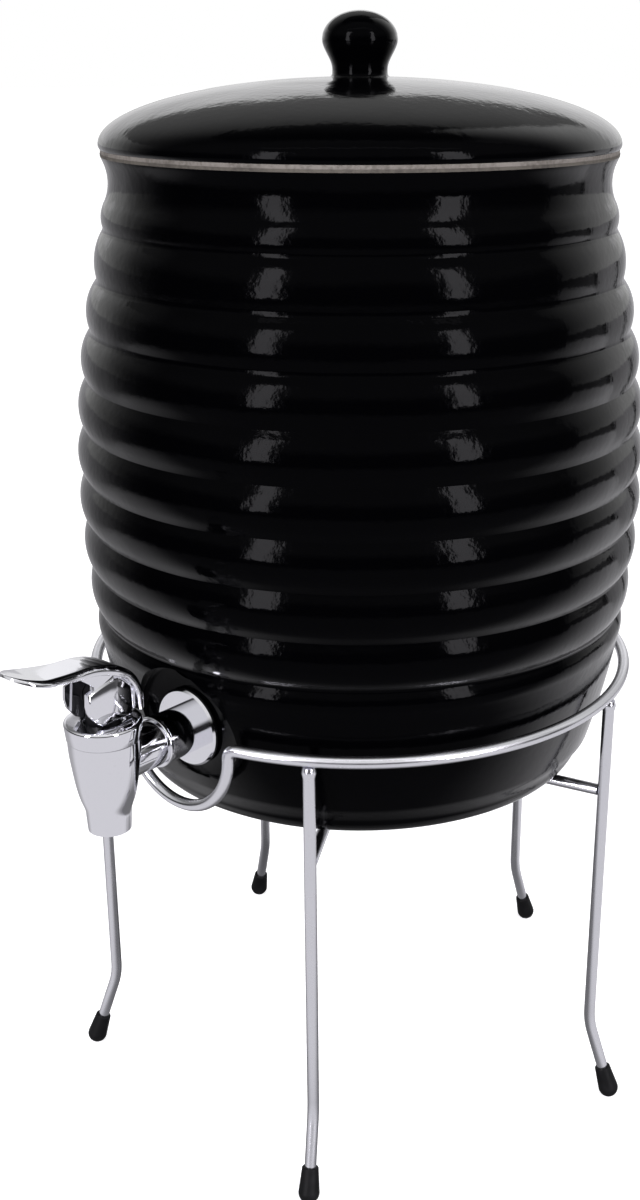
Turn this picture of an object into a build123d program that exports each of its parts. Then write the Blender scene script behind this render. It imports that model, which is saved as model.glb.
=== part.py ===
from build123d import *

import os
from math import acos, asin, atan, cos, degrees, radians, sin, sqrt

# A ribbed ceramic beverage dispenser: a glazed crock with a domed lid and a lever tap,
# carried by a bent wire stand with five legs and rubber foot caps.
# Sizes are in millimetres and angles in degrees. The crock's axis is Z, the tap faces -Y,
# and heights named for the stand and the tap are measured from the floor.

# Stand wire
wire_diameter = 5.0
hoop_crock_clearance = 3.8
hoop_rise_over_tap = 1.0
leg_count = 5
first_leg_angle = -60.0
knee_height = 37.0
knee_bend_radius = 10.0
foot_kick = 12.6
hub_radius = 22.0

# The dip of the hoop under the tap
loop_radius = 28.5
loop_corner_radius = 4.0

# Rubber foot cap
cap_length = 15.5
cap_top_radius = 3.5
cap_end_radius = 4.5
cap_floor_thickness = 3.5
cap_edge_radius = 0.6
cap_bore_clearance = 0.05
cap_flat_depth = 0.5

# Crock
crock_base_height = 158.0
crock_height = 259.9
belly_radius = 121.0
belly_level_share = 0.4771
base_edge_radius = 8.0
wall_thickness = 8.5
floor_thickness = 10.0
inner_edge_radius = 12.0
crock_seat_gap = 0.3

# Ribs between the throwing grooves
rib_pitch = 20.1
lowest_groove_level = 70.0
neck_band_height = 27.9
groove_depth = 2.8
groove_rounding = 1.6
top_groove_depth = 1.5

# Neck and rim
band_crest_rise = 4.2
band_crest_swell = 0.4
band_end_rise = 9.6
band_end_swell = 0.6
neck_drop = 9.6
neck_swell = 1.2
rim_inset = 16.4
rim_flare = 7.43
rim_land_height = 1.1
rim_width = 10.6
mouth_edge_radius = 2.0

# Flat seat for the tap
tap_level = 41.5
seat_radius = 27.0
seat_depth = 4.9
inner_seat_margin = 0.9
seat_boss_margin = 6.0
seat_corner_radius = 2.0
hole_clearance = 0.7

# Lid and its knob
lid_edge_inset = 0.2
lid_land_height = 1.5
lid_overhang = 0.6
lid_widest_level = 3.3
lid_bulge_share = 0.75
lid_height = 28.6
lid_crown_thickness = 7.0
lid_shoulder_level = 4.0
spigot_depth = 12.0
spigot_thickness = 5.0
spigot_clearance = 1.2
knob_neck_radius = 11.1
knob_bead_width = 1.2
knob_bead_height = 1.6
knob_neck_height = 2.8
knob_radius = 15.1
knob_widest_height = 13.9
knob_height = 24.7

# Tap body with its spout
shank_below_body_top = 11.5
spout_outer_radius = 8.4
spout_bore_radius = 6.0
spout_bore_length = 9.0
throat_radius = 5.0
spout_lip_level = 6.5
spout_lip_radius = 8.8
waist_level = 12.0
waist_radius = 10.1
belly_of_tap_level = 26.0
belly_of_tap_radius = 12.9
body_top_level = 38.5
body_top_radius = 14.0
valve_seat_level = 11.5
chamber_floor_level = 16.0
chamber_radius = 10.4
sleeve_radius = 9.4
sleeve_length = 26.4
ring_radius = 10.5
ring_thickness = 2.0
ring_edge_radius = 0.6
shank_radius = 7.8
shank_bore_radius = 5.0
shank_protrusion = 9.5

# Pieces on the shank
washer_bore_clearance = 0.1
spacer_radius = 10.0
spacer_length = 15.9
outer_gasket_radius = 15.0
outer_gasket_thickness = 1.2
flange_radius = 16.3
flange_thickness = 2.0
flange_bevel = 0.8
inner_gasket_radius = 14.0
inner_gasket_thickness = 2.0
nut_width_across_flats = 24.0
nut_thickness = 8.0
nut_chamfer = 0.8

# Bonnet that closes the tap body
bonnet_height = 7.8
bonnet_bottom_radius = 14.3
bonnet_top_radius = 15.0
bonnet_chamfer = 1.0
bonnet_dish_clearance = 1.0
bonnet_dish_depth = 2.6
bonnet_web_thickness = 4.4
bonnet_spigot_depth = 4.5
bonnet_spigot_wall = 2.3
bonnet_spigot_clearance = 0.1

# Stem, seat cup and spring
stem_radius = 2.6
guide_clearance = 0.15
cup_radius = 8.6
cup_tip_radius = 4.0
cup_cone_height = 3.83
cup_height = 11.0
cup_seat_gap = 0.3
cup_socket_depth = 7.0
cup_fit_clearance = 0.05
stem_collar_radius = 7.0
stem_collar_thickness = 1.4
spring_wire_diameter = 0.9
spring_radius = 5.2
spring_turns = 6.0
spring_end_gap = 0.1
head_width = 9.4
head_half_length = 6.5
head_floor_gap = 0.3

# Lever and its pin
pin_rise = 9.2
pin_radius = 1.5
pin_bore_clearance = 0.05
pin_blind_depth = 2.0
head_top_radius = 5.2
slot_side_clearance = 0.25
slot_roof_clearance = 0.8
cheek_thickness = 2.85
lever_floor_gap = 0.3
lever_width = 20.6

# Overrun that lets cuts pass through their walls
overrun = 10.0

# Angles shared by many pieces
full_turn = 360.0
half_turn = 180.0
quarter_turn = 90.0
leg_step = full_turn / leg_count
tap_angle = -quarter_turn

# The barrel's curve, an arc through its belly that would end at the rim
belly_level = crock_height * belly_level_share
barrel_fullness = rim_inset + rim_flare
barrel_arc_radius = ((crock_height - belly_level) ** 2 + barrel_fullness**2) / (2 * barrel_fullness)
rib_count = round((crock_height - lowest_groove_level - neck_band_height) / rib_pitch)


def barrel_radius(level, inset=0):
    """Radius of the barrel's curve at a level above the crock's base."""
    arc = barrel_arc_radius - inset
    return sqrt(arc**2 - (level - belly_level) ** 2) - barrel_arc_radius + belly_radius


# Places that follow from the sizes above
wire_radius = wire_diameter / 2
spoke_height = crock_base_height - crock_seat_gap - wire_radius
rim_height = crock_base_height + crock_height
rim_outer_radius = belly_radius - rim_inset
mouth_radius = rim_outer_radius - rim_width
tap_height = crock_base_height + tap_level
hoop_height = tap_height + hoop_rise_over_tap
hoop_radius = barrel_radius(hoop_height - crock_base_height) + hoop_crock_clearance + wire_radius
foot_radius = hoop_radius + foot_kick
seat_plane_reach = barrel_radius(tap_level) - seat_depth
inner_seat_reach = barrel_radius(tap_level - inner_gasket_radius, wall_thickness) - inner_seat_margin
flange_reach = seat_plane_reach + outer_gasket_thickness + flange_thickness
sleeve_end_reach = flange_reach + spacer_length
tap_reach = sleeve_end_reach + sleeve_length
nut_reach = inner_seat_reach - inner_gasket_thickness - nut_thickness
shank_end_reach = nut_reach - shank_protrusion
bonnet_base_height = tap_height + shank_below_body_top
spout_bottom_height = bonnet_base_height - body_top_level
bonnet_top_height = bonnet_base_height + bonnet_height
dish_floor_height = bonnet_top_height - bonnet_dish_depth
bonnet_web_height = dish_floor_height - bonnet_web_thickness
pin_height = bonnet_top_height + pin_rise
slot_half_width = head_width / 2 + slot_side_clearance


def turned(face):
    """Turn a flat outline, drawn as radius across and height up, about the Z axis."""
    return Rot(quarter_turn, 0, 0) * revolve(face, Axis.Y)


def polygon_turned(*points):
    """Turn a closed outline of straight sides about the Z axis."""
    return turned(make_face(Polyline(*points, close=True)))


def outward(shape):
    """Lay a shape that stands on Z along the tap's shank, its height becoming the reach."""
    return Pos(0, 0, tap_height) * Rot(quarter_turn, 0, 0) * shape


def on_tap_axis(shape):
    """Set a shape that stands on Z on the tap's upright axis."""
    return Pos(0, -tap_reach, 0) * shape


def tube(outer, inner, low, high):
    """A plain tube about Z between two heights."""
    return polygon_turned((inner, low), (outer, low), (outer, high), (inner, high))


def wire_along(path):
    """Round wire bent along a path."""
    start = Plane(origin=path @ 0, z_dir=path % 0)
    return sweep(start * Circle(wire_radius), path=path)


# Stand


def loop_end_angle():
    """Angle from the tap's direction at which the hoop turns down into its loop."""
    reach = sqrt(hoop_radius**2 + loop_corner_radius**2)
    return degrees(asin(loop_radius / reach) + atan(loop_corner_radius / hoop_radius))


def top_hoop():
    """The level part of the hoop, open where it dips under the tap."""
    end = loop_end_angle()
    arc = CenterArc((0, 0, hoop_height), hoop_radius, tap_angle + end, full_turn - 2 * end)
    return wire_along(arc)


def loop_corner(side):
    """Quarter bend from the hoop's end to straight down, on one side of the tap."""
    angle = radians(loop_end_angle())
    start = Vector(side * hoop_radius * sin(angle), -hoop_radius * cos(angle), hoop_height)
    inward = Vector(-side * cos(angle), -sin(angle), 0)
    down = Vector(0, 0, -1)
    centre = start + down * loop_corner_radius
    middle = centre + (inward - down).normalized() * loop_corner_radius
    return ThreePointArc(start, middle, centre + inward * loop_corner_radius)


def tap_loop():
    """The dip of the hoop that leaves room for the tap."""
    right = loop_corner(1)
    left = loop_corner(-1)
    bottom = (right @ 1 + left @ 1) / 2 + Vector(0, 0, -loop_radius)
    bend = ThreePointArc(right @ 1, bottom, left @ 1)
    return wire_along(Wire([right, bend, left]))


def foot_lean():
    """Lean of the lower leg out of the upright."""
    return atan((foot_radius - hoop_radius) / knee_height)


def cap_tip():
    """Lowest point of the cap's rounded end on the leg's lower axis, as reach and height."""
    rise = cap_end_radius - cap_flat_depth
    along = rise / cos(foot_lean())
    return (
        foot_radius - (along - cap_end_radius) * sin(foot_lean()),
        (along - cap_end_radius) * cos(foot_lean()),
    )


def leg():
    """One leg in the XZ plane, from the underside of the hoop to inside its cap."""
    tip_reach, tip_height = cap_tip()
    end = Vector(
        tip_reach - cap_floor_thickness * sin(foot_lean()),
        0,
        tip_height + cap_floor_thickness * cos(foot_lean()),
    )
    knee = Vector(hoop_radius, 0, knee_height)
    path = FilletPolyline((hoop_radius, 0, hoop_height - wire_radius), knee, end, radius=knee_bend_radius)
    return wire_along(path)


def foot_cap():
    """Rubber cap on the end of a leg, with a small flat that meets the floor."""
    bore = wire_radius + cap_bore_clearance
    centre = (0, cap_end_radius)
    end_arc = CenterArc(centre, cap_end_radius, -quarter_turn, quarter_turn)
    side = Line(end_arc @ 1, (cap_top_radius, cap_length))
    outline = [
        end_arc,
        side,
        Polyline(side @ 1, (bore, cap_length), (bore, cap_floor_thickness), (0, cap_floor_thickness), (0, 0)),
    ]
    cap = turned(make_face(outline))
    top_edge = cap.edges().group_by(Axis.Z)[-1].sort_by(SortBy.RADIUS)[-1]
    cap = fillet(top_edge, cap_edge_radius)
    tip_reach, tip_height = cap_tip()
    placed = Pos(tip_reach, 0, tip_height) * Rot(0, -degrees(foot_lean()), 0) * cap
    below = Pos(tip_reach, 0, -cap_length / 2) * Box(cap_length, cap_length, cap_length)
    return placed - below


def spoke():
    """One spoke in the XZ plane, from its leg to the hub ring."""
    inner = Pos(hub_radius + wire_radius, 0, spoke_height)
    length = hoop_radius - hub_radius - wire_diameter
    return inner * Rot(0, quarter_turn, 0) * extrude(Circle(wire_radius), length)


def hub_ring():
    """Small wire ring in the middle of the spokes."""
    return Pos(0, 0, spoke_height) * Torus(hub_radius, wire_radius)


# Crock and lid


def barrel_point(level, inset=0):
    """Point of the crock's outline at a level, pulled in by an inset."""
    return (barrel_radius(level) - inset, level)


def groove_point(number):
    """Bottom of one groove, counted from the lowest."""
    depth = top_groove_depth if number == rib_count else groove_depth
    return barrel_point(lowest_groove_level + number * rib_pitch, depth)


def ribbed_outline():
    """Arcs of the ribs, from the plain lower band up to the highest groove."""
    band_top = lowest_groove_level - rib_pitch / 2
    arcs = [
        ThreePointArc(barrel_point(0), barrel_point(band_top / 2), barrel_point(band_top)),
        ThreePointArc(barrel_point(band_top), barrel_point((band_top + lowest_groove_level) / 2), groove_point(0)),
    ]
    for number in range(rib_count):
        crest = lowest_groove_level + (number + 1 / 2) * rib_pitch
        arcs.append(ThreePointArc(groove_point(number), barrel_point(crest), groove_point(number + 1)))
    return arcs


def neck_outline():
    """The smooth top band, the hollow neck and the flared rim."""
    groove = groove_point(rib_count)
    crest = barrel_point(groove[1] + band_crest_rise, -band_crest_swell)
    band_end = barrel_point(groove[1] + band_end_rise, -band_end_swell)
    neck = barrel_point(crock_height - neck_drop, -neck_swell)
    flare = (rim_outer_radius, crock_height - rim_land_height)
    return [
        ThreePointArc(groove, crest, band_end),
        ThreePointArc(band_end, neck, flare),
        Line(flare, (rim_outer_radius, crock_height)),
    ]


def crock_outside():
    """The crock without its hollow."""
    edges = [Line((0, 0), barrel_point(0))] + ribbed_outline() + neck_outline()
    edges.append(Polyline((rim_outer_radius, crock_height), (0, crock_height), (0, 0)))
    outline = make_face(edges)
    grooves = [v for n in range(rib_count) for v in nearest_corner(outline, groove_point(n))]
    outline = fillet(grooves, groove_rounding)
    outline = fillet(nearest_corner(outline, barrel_point(0)), base_edge_radius)
    return turned(outline)


def nearest_corner(face, point):
    """The one corner of a flat outline that lies at a point."""
    return face.vertices().sort_by_distance((point[0], point[1], 0))[:1]


def crock_hollow():
    """The space inside the crock, with its mouth running past the rim."""
    wall = wall_thickness
    arc = barrel_arc_radius - wall
    mouth_level = belly_level + sqrt(arc**2 - (mouth_radius + barrel_arc_radius - belly_radius) ** 2)
    low = (barrel_radius(floor_thickness, wall), floor_thickness)
    middle = (barrel_radius(belly_level, wall), belly_level)
    edges = [
        Line((0, floor_thickness), low),
        ThreePointArc(low, middle, (mouth_radius, mouth_level)),
        Polyline(
            (mouth_radius, mouth_level),
            (mouth_radius, crock_height + overrun),
            (0, crock_height + overrun),
            (0, floor_thickness),
        ),
    ]
    outline = make_face(edges)
    outline = fillet(nearest_corner(outline, low), inner_edge_radius)
    return turned(outline)


def seat_cutter():
    """Cutter for the flat that the tap's flange sits on, turned so that its seam misses the ribs."""
    depth = belly_radius - seat_plane_reach + overrun
    cutter = Pos(0, 0, seat_plane_reach) * extrude(Circle(seat_radius), depth)
    inner_edge = cutter.edges().group_by(Axis.Z)[0]
    return outward(Rot(0, 0, quarter_turn / 2) * fillet(inner_edge, seat_corner_radius))


def crock():
    """The glazed crock with its ribs, its flat tap seat and the hole for the shank."""
    boss = outward(tube(seat_radius + seat_boss_margin, 0, inner_seat_reach, belly_radius))
    body = Pos(0, 0, crock_base_height) * crock_outside()
    hollow = Pos(0, 0, crock_base_height) * crock_hollow() - boss
    hole = outward(tube(shank_radius + hole_clearance, 0, inner_seat_reach - overrun, belly_radius))
    body = body - hollow - seat_cutter() - hole
    mouth_edges = body.edges().filter_by(GeomType.CIRCLE).group_by(Axis.Z)[-1]
    mouth = mouth_edges.sort_by(SortBy.RADIUS)[0]
    return fillet(mouth, mouth_edge_radius)


def quarter_dome(level, radius, top):
    """Smooth quarter oval from upright at its edge to level on the axis."""
    pull = (sqrt(2) - 1) * 4 / 3
    return Bezier(
        (radius, level), (radius, level + pull * (top - level)), (pull * radius, top), (0, top)
    )


def lid_outline():
    """Half section of the lid and its knob, with heights from the crock's rim."""
    lid_edge_radius = rim_outer_radius - lid_edge_inset
    lid_widest_radius = rim_outer_radius + lid_overhang
    bulge = lid_edge_radius + (lid_widest_radius - lid_edge_radius) * lid_bulge_share
    bulge_level = (lid_land_height + lid_widest_level) / 2
    dome_rise = lid_height - lid_widest_level
    bead_angle = degrees(acos((knob_neck_radius + knob_bead_width) / lid_widest_radius))
    dome = EllipticalCenterArc((0, lid_widest_level), lid_widest_radius, dome_rise, arc_size=bead_angle)
    neck_foot = (knob_neck_radius, (dome @ 1).Y + knob_bead_height)
    bead = Spline(dome @ 1, neck_foot, tangents=[dome % 1, (0, 1)])
    neck_top = (knob_neck_radius, lid_height + knob_neck_height)
    widest_level = lid_height + knob_widest_height
    flare = Spline(neck_top, (knob_radius, widest_level), tangents=[(0, 1), (0, 1)])
    crown = quarter_dome(widest_level, knob_radius, lid_height + knob_height)
    spigot_radius = mouth_radius - spigot_clearance
    inner_radius = spigot_radius - spigot_thickness
    inner_top = lid_height - lid_crown_thickness
    inner_dome = quarter_dome(lid_shoulder_level, inner_radius, inner_top)
    return [
        Line((lid_edge_radius, 0), (lid_edge_radius, lid_land_height)),
        ThreePointArc(
            (lid_edge_radius, lid_land_height), (bulge, bulge_level), (lid_widest_radius, lid_widest_level)
        ),
        dome,
        bead,
        Line(neck_foot, neck_top),
        flare,
        crown,
        Line((0, lid_height + knob_height), (0, inner_top)),
        inner_dome,
        Polyline(
            (inner_radius, lid_shoulder_level),
            (inner_radius, -spigot_depth),
            (spigot_radius, -spigot_depth),
            (spigot_radius, 0),
            (lid_edge_radius, 0),
        ),
    ]


def lid():
    """The domed lid with its knob and the spigot that centres it in the mouth."""
    return Pos(0, 0, rim_height) * turned(make_face(lid_outline()))


# Tap


def tap_body():
    """Upright body with its spout, the valve's chamber and the port towards the shank."""
    floor = (spout_outer_radius, spout_bottom_height)
    profile = Spline(
        (spout_lip_radius, spout_bottom_height + spout_lip_level),
        (waist_radius, spout_bottom_height + waist_level),
        (belly_of_tap_radius, spout_bottom_height + belly_of_tap_level),
        (body_top_radius, bonnet_base_height),
        tangents=[(0, 1), (0, 1)],
    )
    rest = Polyline(profile @ 1, (0, bonnet_base_height), (0, spout_bottom_height), floor)
    upright = on_tap_axis(turned(make_face([Line(floor, profile @ 0), profile, rest])))
    chamber = polygon_turned(
        (0, spout_bottom_height - overrun),
        (spout_bore_radius, spout_bottom_height - overrun),
        (spout_bore_radius, spout_bottom_height + spout_bore_length),
        (throat_radius, spout_bottom_height + spout_bore_length),
        (throat_radius, spout_bottom_height + valve_seat_level),
        (chamber_radius, spout_bottom_height + chamber_floor_level),
        (chamber_radius, bonnet_base_height + overrun),
        (0, bonnet_base_height + overrun),
    )
    port = outward(tube(shank_bore_radius, 0, sleeve_end_reach, tap_reach))
    return upright - on_tap_axis(chamber) - port


def tap_shank():
    """Sleeve with its end ring and the threaded shank that passes through the crock."""
    sleeve = extrude(Circle(sleeve_radius), sleeve_length)
    ring = extrude(Circle(ring_radius), ring_thickness)
    ring = fillet(ring.edges(), ring_edge_radius)
    shank = extrude(Circle(shank_radius), tap_reach - shank_end_reach)
    solid = Pos(0, 0, sleeve_end_reach) * (sleeve + ring) + Pos(0, 0, shank_end_reach) * shank
    bore = tube(shank_bore_radius, 0, shank_end_reach - overrun, tap_reach)
    chamber = on_tap_axis(tube(chamber_radius, 0, spout_bottom_height, bonnet_base_height))
    outside = outward(solid - bore) - tap_body() - chamber
    return outside.solids().sort_by(Axis.Y)[-1]


def washer(outer_radius, near, far):
    """A plain ring on the shank between two reaches."""
    return outward(tube(outer_radius, shank_radius + washer_bore_clearance, near, far))


def outer_gasket():
    """Rubber gasket between the flange and the crock's flat seat."""
    return washer(outer_gasket_radius, seat_plane_reach, seat_plane_reach + outer_gasket_thickness)


def tap_flange():
    """Bevelled cover flange against the crock."""
    bore = shank_radius + washer_bore_clearance
    near = seat_plane_reach + outer_gasket_thickness
    return outward(
        polygon_turned(
            (bore, near),
            (flange_radius, near),
            (flange_radius, flange_reach - flange_bevel),
            (flange_radius - flange_bevel, flange_reach),
            (bore, flange_reach),
        )
    )


def shank_spacer():
    """Round spacer that fills the shank between the flange and the body's end ring."""
    return washer(spacer_radius, flange_reach, sleeve_end_reach)


def inner_gasket():
    """Soft gasket against the inside of the crock's wall."""
    return washer(inner_gasket_radius, inner_seat_reach - inner_gasket_thickness, inner_seat_reach)


def tap_nut():
    """Hexagonal nut that clamps the tap from inside the crock."""
    hexagon = RegularPolygon(nut_width_across_flats / 2, 6, major_radius=False)
    nut = extrude(hexagon, nut_thickness)
    corner_radius = nut_width_across_flats / sqrt(3)
    rounding = polygon_turned(
        (0, 0),
        (corner_radius - nut_chamfer, 0),
        (corner_radius, nut_chamfer),
        (corner_radius, nut_thickness),
        (0, nut_thickness),
    )
    bore = tube(shank_radius + washer_bore_clearance, 0, -overrun, nut_thickness + overrun)
    return outward(Pos(0, 0, nut_reach) * ((nut & rounding) - bore))


def bonnet():
    """Round bonnet that closes the body and guides the stem."""
    guide = stem_radius + guide_clearance
    spigot = chamber_radius - bonnet_spigot_clearance
    inner = spigot - bonnet_spigot_wall
    dish = head_half_length + bonnet_dish_clearance
    return on_tap_axis(
        polygon_turned(
            (guide, bonnet_web_height),
            (inner, bonnet_web_height),
            (inner, bonnet_base_height - bonnet_spigot_depth),
            (spigot, bonnet_base_height - bonnet_spigot_depth),
            (spigot, bonnet_base_height),
            (bonnet_bottom_radius, bonnet_base_height),
            (bonnet_top_radius, bonnet_top_height - bonnet_chamfer),
            (bonnet_top_radius - bonnet_chamfer, bonnet_top_height),
            (dish, bonnet_top_height),
            (dish, dish_floor_height),
            (guide, dish_floor_height),
        )
    )


# Valve


def cup_bottom_height():
    """Height of the seat cup's tip, held just off the valve seat."""
    slope = (chamber_floor_level - valve_seat_level) / (chamber_radius - throat_radius)
    drop = (throat_radius - cup_tip_radius) * slope
    return spout_bottom_height + valve_seat_level - drop + cup_seat_gap * sqrt(1 + slope**2)


def seat_cup():
    """Soft cup at the foot of the stem that closes the spout."""
    low = cup_bottom_height()
    top = low + cup_height
    socket = stem_radius + cup_fit_clearance
    return on_tap_axis(
        polygon_turned(
            (0, low),
            (cup_tip_radius, low),
            (cup_radius, low + cup_cone_height),
            (cup_radius, top),
            (socket, top),
            (socket, top - cup_socket_depth),
            (0, top - cup_socket_depth),
        )
    )


def stem_collar_top():
    """Height of the stem collar's upper face, where the spring stands."""
    return cup_bottom_height() + cup_height + stem_collar_thickness


def stem():
    """Stem with the collar under the spring and the head that carries the lever."""
    foot = cup_bottom_height() + cup_height - cup_socket_depth
    head_floor = dish_floor_height + head_floor_gap
    rod = tube(stem_radius, 0, foot, head_floor + head_floor_gap)
    collar = tube(stem_collar_radius, 0, stem_collar_top() - stem_collar_thickness, stem_collar_top())
    base = tube(head_half_length, 0, head_floor, pin_height)
    rise = pin_height - head_floor
    slab = Pos(0, 0, head_floor + rise / 2) * Box(head_width, 2 * head_half_length, rise)
    dome = cross_bar(head_top_radius, head_width / 2)
    pin_hole = cross_bar(pin_radius + pin_bore_clearance, head_width)
    return on_tap_axis(rod + collar + ((base & slab) + dome) - pin_hole)


def stem_spring():
    """Coil spring that presses the stem down on its seat."""
    low = stem_collar_top() + spring_end_gap + spring_wire_diameter / 2
    high = bonnet_web_height - spring_end_gap - spring_wire_diameter / 2
    coil = Helix(pitch=(high - low) / spring_turns, height=high - low, radius=spring_radius)
    start = Plane(origin=coil @ 0, z_dir=coil % 0)
    wire = sweep(start * Circle(spring_wire_diameter / 2), path=coil, is_frenet=True)
    return on_tap_axis(Pos(0, 0, low) * wire)


# Lever


# Side view of the lever's strap and paddle, as reach from the tap's upright axis towards
# the user and height above the pin, in shares of the paddle's reach and rise. The cheeks'
# heights are shares of their drop to the bonnet, and the plan's widths of half the lever's.
paddle_reach = 43.4
paddle_rise = 25.0
cheek_drop = pin_rise - lever_floor_gap
strap_top_shares = [
    (-0.336, -0.30),
    (-0.325, 0.02),
    (-0.245, 0.30),
    (-0.11, 0.485),
    (0.06, 0.610),
    (0.20, 0.665),
    (0.36, 0.680),
    (0.55, 0.720),
    (0.75, 0.785),
    (0.93, 0.885),
    (1.0, 0.925),
]
strap_under_shares = [
    (1.0, 0.890),
    (0.95, 0.805),
    (0.78, 0.670),
    (0.60, 0.600),
    (0.40, 0.545),
    (0.22, 0.520),
    (0.06, 0.450),
    (-0.08, 0.335),
    (-0.19, 0.18),
    (-0.250, -0.02),
    (-0.258, -0.30),
]
cheek_shares = [
    (-0.215, -1.0),
    (0.130, -1.0),
    (0.165, -0.85),
    (0.235, -0.20),
    (0.235, 0.46),
    (0.16, 1.40),
    (0.0, 1.18),
    (-0.13, 0.81),
    (-0.215, 0.34),
]
plan_shares = [
    (-0.336, 0.83),
    (0.0, 0.83),
    (0.25, 0.80),
    (0.50, 0.90),
    (0.70, 1.0),
    (0.84, 0.87),
    (0.94, 0.58),
    (1.0, 0.0),
]


def side_points(shares, rise):
    """Points of the lever's side view on the tap's own axis, as place along Y and height."""
    return [(-x * paddle_reach, pin_height + z * rise) for x, z in shares]


def cast_sideways(outline, half_width):
    """Give a side view its width across the tap."""
    return Plane.YZ * extrude(outline, half_width, both=True)


def cross_bar(radius, half_length):
    """Round bar across the tap at the lever's pivot."""
    return Pos(0, 0, pin_height) * Rot(0, quarter_turn, 0) * extrude(Circle(radius), half_length, both=True)


def paddle_plan():
    """Plan view of the strap and paddle as a tall block."""
    half = lever_width / 2
    right = [(width * half, -reach * paddle_reach) for reach, width in plan_shares]
    left = [(-x, y) for x, y in reversed(right)]
    sides = [Spline(*right), Spline(*left), Line(left[-1], right[0])]
    return Pos(0, 0, pin_height - paddle_rise) * extrude(make_face(sides), 3 * paddle_rise)


def lever():
    """Lever with its paddle, the strap over the stem's head and the two cheeks."""
    half = lever_width / 2
    top = Spline(*side_points(strap_top_shares, paddle_rise))
    under = Spline(*side_points(strap_under_shares, paddle_rise))
    strap = cast_sideways(make_face([top, Line(top @ 1, under @ 0), under, Line(under @ 1, top @ 0)]), half)
    strap = strap & paddle_plan()
    cheek_outline = Polyline(*side_points(cheek_shares, cheek_drop), close=True)
    cheeks = cast_sideways(make_face(cheek_outline), slot_half_width + cheek_thickness)
    roof = head_top_radius + slot_roof_clearance
    slot_box = Box(2 * slot_half_width, paddle_reach, paddle_reach)
    slot = Pos(0, 0, pin_height + roof - paddle_reach / 2) * slot_box
    pin_hole = cross_bar(pin_radius + pin_bore_clearance, slot_half_width + pin_blind_depth)
    return on_tap_axis(strap + (cheeks - slot) - pin_hole)


def lever_pin():
    """Pin through the stem's head, held in blind holes in the cheeks."""
    pin_half = slot_half_width + pin_blind_depth - pin_bore_clearance
    return on_tap_axis(cross_bar(pin_radius, pin_half))


def stand_pieces():
    """Every piece of the stand by name."""
    pieces = {"top_hoop": top_hoop(), "tap_loop": tap_loop(), "hub_ring": hub_ring()}
    makers = {"leg": leg(), "spoke": spoke(), "foot_cap": foot_cap()}
    for number in range(leg_count):
        turn = Rot(0, 0, first_leg_angle + number * leg_step)
        for name, shape in makers.items():
            pieces[f"{name}_{number + 1}"] = turn * shape
    return pieces


def crock_pieces():
    """Crock, lid and every piece of the tap by name."""
    tap = [tap_body, tap_shank, shank_spacer, tap_flange, outer_gasket, inner_gasket, tap_nut, bonnet]
    makers = [crock, lid] + tap + [seat_cup, stem, stem_spring, lever, lever_pin]
    return {maker.__name__: maker() for maker in makers}


def main():
    """Build every piece, set the origin under the middle of the whole and write the files."""
    pieces = stand_pieces() | crock_pieces()
    box = Compound(children=[shape.solids()[0] for shape in pieces.values()]).bounding_box()
    shift = Pos(-(box.min.X + box.max.X) / 2, -(box.min.Y + box.max.Y) / 2, -box.min.Z)
    print("crock axis in the part's frame", shift.position)
    os.makedirs("parts", exist_ok=True)
    for name, shape in pieces.items():
        export_step(shift * shape, f"parts/{name}.step")


if __name__ == "__main__":
    main()
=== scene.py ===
"""A black ribbed ceramic beverage dispenser in its wire stand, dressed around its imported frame."""

import logging
import math
from dataclasses import astuple, dataclass, field
from enum import Enum
from typing import Any, Callable

import bpy
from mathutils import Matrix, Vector


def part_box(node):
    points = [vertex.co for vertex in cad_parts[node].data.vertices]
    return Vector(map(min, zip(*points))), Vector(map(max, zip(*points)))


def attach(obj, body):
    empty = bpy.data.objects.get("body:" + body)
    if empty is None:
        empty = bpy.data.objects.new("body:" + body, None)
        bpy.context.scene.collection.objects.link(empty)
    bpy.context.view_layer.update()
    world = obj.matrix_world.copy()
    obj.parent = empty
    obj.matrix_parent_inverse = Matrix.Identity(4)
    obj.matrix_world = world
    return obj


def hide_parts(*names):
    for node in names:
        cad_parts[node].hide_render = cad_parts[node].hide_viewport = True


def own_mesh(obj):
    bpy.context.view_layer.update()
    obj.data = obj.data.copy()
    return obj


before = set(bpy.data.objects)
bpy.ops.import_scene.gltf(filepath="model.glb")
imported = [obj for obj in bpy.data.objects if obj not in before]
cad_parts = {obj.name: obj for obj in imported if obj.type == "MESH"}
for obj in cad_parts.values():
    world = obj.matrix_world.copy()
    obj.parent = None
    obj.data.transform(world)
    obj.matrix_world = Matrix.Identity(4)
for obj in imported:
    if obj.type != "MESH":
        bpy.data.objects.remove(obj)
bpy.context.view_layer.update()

log = logging.getLogger("dispenser")

MM = 0.001
TOUCH = 0.01 * MM
MERGE_REACH = 0.001 * MM
TURN = 2 * math.pi
HALF_TURN = math.pi
QUARTER = math.pi / 2
UP = Vector((0, 0, 1))
SMOOTH_ANGLE = math.radians(40)

Pair = tuple[float, float]
Outline = list[Pair]
Colour = tuple[float, float, float]


class Slot(Enum):
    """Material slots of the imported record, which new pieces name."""

    GLAZE = "black_glaze"
    CHROME = "chrome"
    STEEL = "steel"


class Body(Enum):
    """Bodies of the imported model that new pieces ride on."""

    STAND = "stand"
    CROCK = "crock"
    LID = "lid"
    LEVER = "lever"


class Ray(Enum):
    """Kinds of light ray that a graph tells apart, as outputs of the Light Path node."""

    CAMERA = "Is Camera Ray"
    GLOSSY = "Is Glossy Ray"
    THROUGH = "Is Transmission Ray"


class Deed(Enum):
    """What a tool's shape does to a piece, as operation and solver of the Boolean modifier."""

    CUT = ("DIFFERENCE", "EXACT")
    JOIN = ("UNION", "MANIFOLD")


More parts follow.
